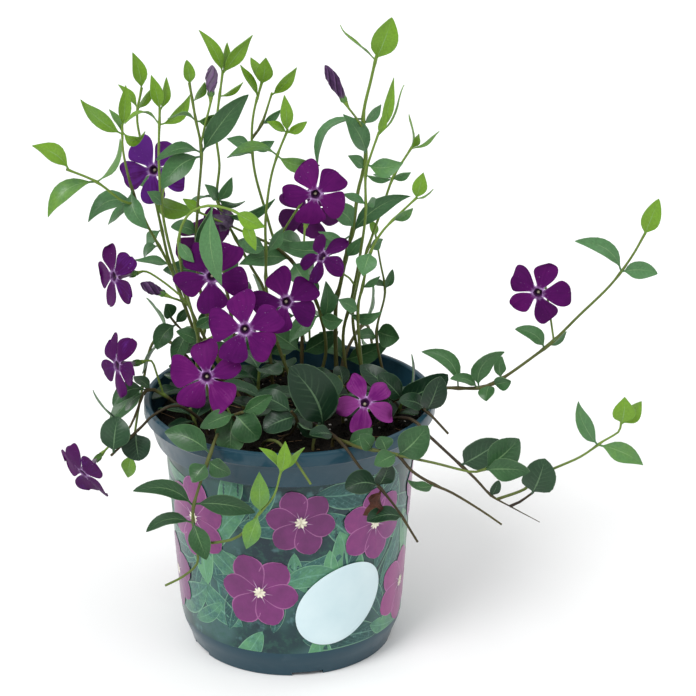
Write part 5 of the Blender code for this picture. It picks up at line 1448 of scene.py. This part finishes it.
draw = random.Random(5)
for name, shoot in SHOOTS.items():
    stem, kind = stems[name], shoot["colour"]
    leaves, feet = [], []
    for number, (across, up, *plan, bow) in enumerate(shoot["leaves"]):
        foot = seen_nearest(stem["coarse"], on_sheet(across, up, 0))
        tip, wide, turned = best_fit(
            stem["surface"], leaf_trials(foot, *plan), lambda trial: packed_leaf_marks(foot, *trial, bow))
        foot, share, cane = onto(stem["fine"], foot)
        fresh_stem = (name, cane) in FRESH_STEMS
        age = age_at(kind, 0.5 if name in OLD_TIPS else share, draw)
        age -= LONG_AGE * max(0, (tip - foot).length - LONG_LEAF)
        age += (foot.z - TONE_HEIGHT) * TONE_SLOPE + AGE_SHIFTS.get(name, 0)
        if fresh_stem:
            age = 0.72 + 0.35 * share ** 3
        age = FRESH_LEAVES.get((name, number), age)
        broad = 0.1 if fresh_stem else BROAD[kind]
        wide *= SLIM[kind]
        if (name, number) in REDRAWN:
            (across, up, forward), wide, broad = REDRAWN[name, number]
            tip, turned = on_sheet(across, up, foot.y - forward), plan[-1]
        turned += EDGE_ON.get((name, number), 0)
        if (name, number) in DRIED:
            (across, up, forward), wide = DRIED[name, number]
            tip = on_sheet(across, up, foot.y - forward)
            leaf = grown_leaf("dried", foot, tip, wide, turned, 0.1, 0, 0, draw, curl=1.1)
        else:
            look = "young" if fresh_stem or (name, number) in FRESH_LEAVES else kind
            leaf = grown_leaf(look, foot, tip, wide, turned, bow, age, broad, draw)
        leaves.append(leaf)
        feet.append(foot)
    for start, (across, up, forward), wide in FADED.get(name, ()):
        foot = onto(stem["fine"], seen_nearest(stem["coarse"], on_sheet(*start, 0)))[0]
        tip = on_sheet(across, up, foot.y - forward)
        leaves.append(grown_leaf("faded", foot, tip, wide, 10, 0.1, 0, 0.8, draw, curl=0.6))
    swollen(stem["fine"], stem["girths"], feet + [stalk[0] for stalk in stem["stalks"]])
    runs = []
    for cane, (path, girth) in enumerate(zip(stem["fine"], stem["girths"])):
        low, high = STEM_GREENS[kind]
        if (name, cane) in FRESH_STEMS:
            low, high = FRESH_GREENS
        elif (name, cane) in OLIVE_STEMS:
            low, high = OLIVE_GREENS
        elif name in OLD_TIPS:
            high = OLD_TIP_GREEN
        thinned = (1 - TAPERING.get((name, cane), 1.0)) / (1 - TAPER_FROM)
        girth = [g * (1 - thinned * max(0, i / len(girth) - TAPER_FROM)) for i, g in enumerate(girth)]
        runs.append((path, girth, low, high))
    foliage(name, kind, runs, leaves, stem["stalks"], draw)


# Shoots behind, out of the front view: they rise, arch over the rim and bear leaves in crossed pairs.
pack_draw = random.Random(7)
for name, azimuth, radius, reach, rise, fall, has_bloom in BACK_SHOOTS:
    surface = surface_of(name)
    angle = math.radians(azimuth)
    out = Vector((math.cos(angle), math.sin(angle), 0))
    foot = out * radius
    marks = [
        foot + Vector((0, 0, ROOT_LOW)), foot + Vector((0, 0, ROOT_HIGH)),
        foot + out * (0.30 * reach) + Vector((0, 0, SOIL_TOP + 0.9 * rise)),
        foot + out * (0.75 * reach) + Vector((0, 0, SOIL_TOP + rise)),
        foot + out * reach + Vector((0, 0, SOIL_TOP + (rise + fall) / 2)),
        foot + out * (reach + 6) + Vector((0, 0, SOIL_TOP + fall)),
    ]
    coarse = smooth_path(marks, CAD_STEP)
    fine = lengthened(smooth_path(marks, FINE_STEP))
    way = [a.lerp(b, k / 5) for a, b in zip(coarse, coarse[1:]) for k in range(5)] + [coarse[-1]]
    leaves, feet, stalks = [], [], []
    for number, i in enumerate(range(7, len(way) - 1, 6)):
        ahead = (way[i + 1] - way[i - 1]).normalized()
        flank = ahead.cross(Vector((0, 0, 1))).normalized()
        rise_way = flank.cross(ahead).normalized()
        for sign in (1, -1):
            spread = flank * sign if number % 2 == 0 else rise_way * sign
            for size in TRIAL_SIZES:
                length = BACK_LEAF * size * pack_draw.uniform(0.85, 1.15)
                tip = way[i] + (spread * 0.85 + ahead * 0.55) * length
                turn = BACK_TURNS[number % 2]
                if surface.find_nearest(tip)[3] < ON_SOLID:
                    base, share, _ = onto([fine], way[i])
                    age = age_at("grown", share, draw)
                    leaves.append(grown_leaf("grown", base, tip, BACK_WIDTH * size, turn, 0, age, 0.5, draw))
                    feet.append(base)
                    break
    tip = way[-1] + (way[-1] - way[-3]).normalized() * END_LEAF
    if surface.find_nearest(tip)[3] < ON_SOLID:
        leaves.append(grown_leaf("grown", way[-1], tip, END_WIDTH, BACK_TURNS[0], 0, 0.9, 0.2, draw))
    if has_bloom:
        bloom = name.replace("shoot", "bloom")
        facing = (out + Vector((0, 0, 0.3))).normalized()
        start = way[len(way) // 2]
        trials = (start + facing * BACK_OUT + Vector((0, 0, lift)) for lift in BACK_LIFTS)
        centre = best_fit(surface_of(bloom), trials,
                          lambda trial: petal_marks(trial, facing, BACK_SPIN, BACK_BLOOM))
        stalks.append((onto([fine], start)[0], centre - facing * TUBE_LENGTH, facing, BACK_REACH))
        flowers.append((bloom, centre, facing, BACK_SPIN, BACK_BLOOM))
    girths = [0.8 * (1 - 0.4 * i / (len(fine) - 1)) for i in range(len(fine))]
    swollen([fine], [girths], feet)
    foliage(name, "grown", [(fine, girths, 0.1, 0.7)], leaves, stalks, draw)


# Low shoots on the soil: short stems with crossed pairs of broad dark leaves that lie nearly level.
pack_draw = random.Random(3)
for name, x, y, rise in LOW_SHOOTS:
    surface = surface_of(name)
    lean = Vector((pack_draw.uniform(-4, 4), pack_draw.uniform(-4, 4), 0))
    low, high = Vector((x, y, SOIL_TOP + 2)), Vector((x, y, SOIL_TOP + rise)) + lean
    fine = lengthened(smooth_path([Vector((x, y, ROOT_LOW)), low, high], FINE_STEP))
    leaves, feet = [], []
    first = pack_draw.uniform(0, 180)
    for number, share in enumerate((0.25, 0.6, 1.0)):
        start = low.lerp(high, share)
        for sign in (0, 180):
            angle = math.radians(first + 90 * number + sign + pack_draw.uniform(-20, 20))
            out = Vector((math.cos(angle), math.sin(angle), pack_draw.uniform(0.05, 0.4)))
            for size in TRIAL_SIZES:
                tip = start + out * (LOW_LEAF * size)
                if surface.find_nearest(tip)[3] < ON_SOLID:
                    age = draw.uniform(0.0, 0.4) if number < 2 else draw.uniform(0.2, 0.6)
                    base = onto([fine], start)[0]
                    leaves.append(grown_leaf("dark", base, tip, LOW_WIDTH * size, None, 0, age, 1.0, draw))
                    feet.append(base)
                    break
    girths = [0.8 - 0.3 * i / (len(fine) - 1) for i in range(len(fine))]
    swollen([fine], [girths], feet)
    foliage(name, "dark", [(fine, girths, 0.0, 0.6)], leaves, [], draw)


# Open flowers: five broad rounded petals, skewed like a pinwheel's, on a narrow tube. They are deep
# satin purple, with thin lilac lines and a lilac rim round the throat, and a cream stigma in it; inside
# the rim the throat is near black, its own deep purple darkened with painted shade for the tube's depth.
# One petal and one throat are modelled, and bent or moved copies of them make each flower.
PETAL_FOOT, PETAL_END = 2.0, 14.7
PETAL_CLAW, PETAL_HALF = 1.35, 6.9
PETAL_SKEW, PETAL_SLANT = 0.9, 1.7
BLUNTNESS = {-1: 5.0, 1: 2.5}
PETAL_ROWS, PETAL_COLUMNS = 13, 8
PETAL_THICK = 0.28
# The throat's rings: (radius, height). It is round up to EYE_FROM and five-cornered from there on.
THROAT_RINGS = (
    (0.70, -10.0), (0.95, -8.5), (1.0, -6.0), (1.3, -3.6), (1.9, -1.4), (2.5, -0.2), (2.75, 0.35),
    (2.6, 0.80), (2.2, 0.75), (1.6, 0.1), (1.15, -1.2), (0.80, -1.4),
    (0.70, -1.1), (0.60, -0.6), (0.35, -0.45),
)
THROAT_SIDES, EYE_FROM = 20, 1.7
# How warm a flower's purple is: 0 and less for violet, 1 and more for magenta. Others draw theirs.
WARM = {
    "bloom_behind": -0.55, "bloom_front_left": 0.80, "bloom_on_soil": 1.35, "bloom_far_left": 0.05,
    "bloom_side": 0.1, "bloom_lowest": 0.15, "bloom_left_low": 0.1, "bloom_right": 0.3, "bloom_middle": 0.55,
}
# How far, in degrees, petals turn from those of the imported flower, and petals that are not wide: all of
# a flower's, or one, by its place in it. The frayed flower has uneven, shorter petals.
TURNED = {"bloom_top": -36, "bloom_right": -13, "bloom_front_left": -24, "bloom_middle": -23}
NARROW = {
    "bloom_side": 0.55, "bloom_on_soil": 0.8, "bloom_far_left": 0.85, "bloom_left_low": 0.8,
    ("bloom_front_left", 0): 0.5, ("bloom_right", 2): 0.62, ("bloom_right", 3): 0.85,
    ("bloom_right", 0): 0.88, ("bloom_centre", 3): 0.8, ("bloom_top", 2): 0.85,
}
FRAYED = {"bloom_on_soil": 1.0}


def petal_half(reach, side):
    """A petal's half width, in millimetres, at a place along it from 0 to 1, on one side, -1 or 1."""
    reach = min(max(reach, 0), 1)
    swell = math.sin(math.pi / 2 * min(reach / 0.82, 1)) ** 1.45
    body = PETAL_CLAW + (PETAL_HALF - PETAL_CLAW) * swell
    cap = 1 - max(0, (reach - 0.45) / 0.55) ** BLUNTNESS[side]
    return body * cap ** (1 / BLUNTNESS[side])


petal_shape = flat_grid("petal_shape", PETAL_ROWS, PETAL_COLUMNS, lambda share: math.sin(math.pi / 2 * share))
modified(petal_shape, "SOLIDIFY", thickness=PETAL_THICK, offset=0)
smooth(55)
PETAL_GRID = np.array([vert.co for vert in petal_shape.data.vertices])
PETAL_LEFT, PETAL_RIGHT = (
    np.array([petal_half(reach, side) for reach in PETAL_GRID[:, 0]])[:, None] for side in (-1, 1))

throat_shape = lathe("throat_shape", THROAT_SIDES, THROAT_RINGS)
bpy.ops.object.shade_smooth()
THROAT_GRID = np.array([vert.co / MM for vert in throat_shape.data.vertices])
ring_tree = kdtree.KDTree(len(THROAT_RINGS))
for number, (radius, height) in enumerate(THROAT_RINGS):
    ring_tree.insert((radius, height, 0), number)
ring_tree.balance()
corner = math.radians(36)
rings = []
for place in THROAT_GRID:
    radius = math.hypot(place[0], place[1])
    if radius > EYE_FROM and place[2] > -1:
        angle = math.atan2(place[1], place[0]) % (2 * corner) - corner
        place[:2] *= 0.95 * (math.cos(corner) / math.cos(angle) * 1.12) + 0.05
    ring = ring_tree.find((math.hypot(place[0], place[1]), place[2], 0))[1]
    rings.append(ring / (len(THROAT_RINGS) - 1))
tagged(throat_shape.data, age=rings)

petal_finish, tree, shader = finish("purple_petal", 0.6, Specular_IOR_Level=0.07)
place = place_of(tree)
uv = add(tree, "ShaderNodeSeparateXYZ", [add(tree, "ShaderNodeUVMap").outputs[0]])
along, off_mid = on_blade(tree)
drawn_out = add(tree, "ShaderNodeCombineXYZ", [times(tree, along, 0.15), uv.outputs[1], named(tree, "age")])
feeds = {"Vector": drawn_out.outputs[0], "Scale": 11.0, "Detail": 3.0}
streaks = add(tree, "ShaderNodeTexNoise", feeds).outputs[0]
tone = plus(tree, times(tree, streaks, 0.30), times(tree, noise(tree, place, 7, 3), 0.35))
tone = plus(tree, tone, times(tree, named(tree, "tone"), 0.35))
colour = ramp(
    tree, tone, (0.10, (0.095, 0.016, 0.190)), (0.28, (0.046, 0.002, 0.058)), (0.46, (0.072, 0.003, 0.084)),
    (0.68, (0.112, 0.006, 0.112)), (0.86, (0.200, 0.030, 0.180)))
colour = masked(tree, times(tree, named(tree, "under"), 0.4), colour, (0.13, 0.030, 0.15))
edge_line = times(tree, span(tree, off_mid, 0.34, 0.47, 0, 1), span(tree, along, 0.03, 0.26, 0.80, 0))
mid_line = times(tree, span(tree, off_mid, 0.02, 0.14, 1, 0), span(tree, along, 0.03, 0.20, 0.30, 0))
lines = sums(tree, "MAXIMUM", edge_line, mid_line)
lines = sums(tree, "MAXIMUM", lines, span(tree, along, 0.0, 0.13, 0.45, 0.0))
lines = times(tree, lines, span(tree, noise(tree, place, 1.6, 2), 0.36, 0.60, 0.25, 1.1))
colour = masked(tree, lines, colour, (0.44, 0.29, 0.54))
# Pale specks for dew drops on the petals: their brightness is painted highlight, the glint of the drops.
painted_dew_glints = span(tree, noise(tree, place, 0.6, 1), 0.755, 0.785, 0, 0.4)
painted(tree, shader, masked(tree, painted_dew_glints, colour, (0.40, 0.28, 0.45)))
bump(tree, shader, streaks, 0.3, 0.25)

throat_finish, tree, shader = finish("flower_throat", 0.5)
# Colours up the throat's rings: green at the tube's foot, greyish lilac, purple, the lilac rim, then near
# black down inside the rim, which is painted shade over the throat's deep purple, and the cream stigma.
painted(tree, shader, ramp(
    tree, named(tree, "age"), (0.0, (0.20, 0.30, 0.12)), (0.15, (0.26, 0.20, 0.28)),
    (0.34, (0.13, 0.025, 0.15)), (0.43, (0.16, 0.030, 0.18)), (0.50, (0.46, 0.31, 0.54)),
    (0.57, (0.16, 0.04, 0.20)), (0.64, (0.035, 0.006, 0.045)), (0.80, (0.025, 0.006, 0.030)),
    (0.90, (0.16, 0.13, 0.10)), (1.0, (0.42, 0.38, 0.28))))
bump(tree, shader, noise(tree, place_of(tree), 0.8, 3), 0.4, 0.15)

draw = random.Random(3)
for name, centre, facing, spin, size in flowers:
    across, up, facing = (np.array(way) for way in flower_frame(facing, spin + TURNED.get(name, 0)))
    centre = np.array(centre)
    x, y, z = THROAT_GRID.T[:, :, None]
    parts = [copy_of(throat_shape, throat_finish, centre + across * x + up * y + facing * z)]
    tone = WARM.get(name, draw.uniform(0.3, 0.7))
    frayed = FRAYED.get(name, 0.0)
    for k in range(5):
        turned = 2 * math.pi * (k + 0.5) / 5 + draw.uniform(-0.07, 0.07)
        spread = across * math.cos(turned) + up * math.sin(turned)
        round_ = np.cross(facing, spread)
        reach, over, level = PETAL_GRID.T[:, :, None]
        far = reach ** 2
        wide = draw.uniform(0.82, 1.08) * (1 - 0.25 * frayed) * NARROW.get(name, NARROW.get((name, k), 1))
        half = np.where(over < 0, PETAL_LEFT, PETAL_RIGHT) * (1 + (wide - 1) * reach)
        long = PETAL_END - PETAL_FOOT - draw.uniform(0, 1.1) * (1 + frayed)
        edge = over * half / PETAL_HALF
        notches = np.sin(edge * draw.uniform(3.0, 6.0) + draw.uniform(0, 6.28))
        out = PETAL_FOOT + long * reach - PETAL_SLANT * edge * far + (0.3 + 0.7 * frayed) * far ** 2 * notches
        aside = over * half + PETAL_SKEW * far
        twist = draw.uniform(-0.25, 0.35) * reach
        lean = draw.uniform(-2.4, 1.8) * far
        dish = draw.uniform(-0.9, 1.3) * (1 - over ** 2) * reach * (1 - reach) * 2.5
        ruffle = 0.55 * far * np.sin(over * 2.2 + draw.uniform(0, 6.28))
        ruffle = ruffle + 0.9 * far * abs(over) ** 2 * draw.uniform(-1, 1)
        height = 0.75 * (1 - reach) - 0.5 * far + lean + dish + ruffle * (1 + frayed)
        height = height + over * half * np.sin(twist) + level
        places = centre + (spread * out + round_ * aside * np.cos(twist)) * size + facing * height
        petal = copy_of(petal_shape, petal_finish, places)
        tagged(petal.data, age=draw.uniform(0, 9), tone=tone + draw.uniform(-0.28, 0.22),
               under=PETAL_GRID[:, 2] < 0)
        parts.append(petal)
    settled(joined(name + "_flower", parts), None, "petal", name)
for shape in (leaf_shape, petal_shape, throat_shape):
    bpy.data.objects.remove(shape, do_unlink=True)


# Buds: five petals furled to the left round each other, into a pointed spindle with a slim waist.
# Rows: (radius, place along the bud, how far the folds have wound by there, in degrees).
BUD_ROWS = (
    (0.85, 0.00, 0), (1.10, 0.07, 8), (1.45, 0.16, 20), (1.95, 0.28, 44), (2.40, 0.42, 74), (2.60, 0.56, 100),
    (2.40, 0.70, 126), (1.80, 0.83, 150), (1.10, 0.92, 170), (0.60, 0.97, 180),
)
BUD_SIDES, BUD_POINT = 40, 0.15
PALE_BUDS = {"bud_top_left"}
bud_finish, tree, shader = finish("furled_petal", 0.5)
fold = named(tree, "under")
tone = plus(tree, noise(tree, place_of(tree), 2.5, 4), times(tree, named(tree, "tone"), 0.4))
colour = ramp(tree, tone, (0.30, (0.022, 0.006, 0.034)), (0.60, (0.055, 0.018, 0.075)),
              (0.95, (0.12, 0.085, 0.14)))
# Painted light on the furled petals, placed by the fold numbers: a lilac painted highlight along each fold's
# raised outer edge, and near-black painted shade in the crease tucked under the edge of the fold beside it.
colour = masked(tree, span(tree, fold, 0.55, 1.0, 0, 0.75), colour, (0.17, 0.085, 0.21))
colour = masked(tree, span(tree, fold, 0.0, 0.25, 0.8, 0), colour, (0.010, 0.002, 0.016))
colour = masked(tree, span(tree, named(tree, "age"), 0.0, 0.25, 0.5, 0), colour, (0.22, 0.22, 0.16))
painted(tree, shader, colour)
bump(tree, shader, noise(tree, place_of(tree), 1.2, 4), 0.5, 0.3)
_, places_along, windings = zip(*BUD_ROWS)
for name, base, tip in furled:
    length = (tip - base).length
    rings = [(radius, share * length) for radius, share, _ in BUD_ROWS]
    bud = lathe(name + "_furled", BUD_SIDES, rings + [(BUD_POINT, length)])
    bpy.ops.object.shade_smooth()
    across, up, along = flower_frame(tip - base, 0)
    folds = []
    for vert in bud.data.vertices:
        angle = math.atan2(vert.co.y, vert.co.x)
        fold = (5 * angle / (2 * math.pi)) % 1
        radius = vert.co.xy.length * (0.76 + 0.26 * fold ** 0.7)
        folds.append(fold)
        angle += math.radians(np.interp(vert.co.z / (length * MM), places_along, windings))
        place = across * math.cos(angle) * radius + up * math.sin(angle) * radius + along * vert.co.z
        vert.co = base * MM + place
    shares = [(vert.co / MM - base).dot(along) / length for vert in bud.data.vertices]
    # The folds' places, which the material uses for its painted highlights and painted shade.
    tagged(bud.data, under=folds, age=shares, tone=1.0 if name in PALE_BUDS else 0.0)
    settled(bud, bud_finish, "bud", name)


low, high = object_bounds()
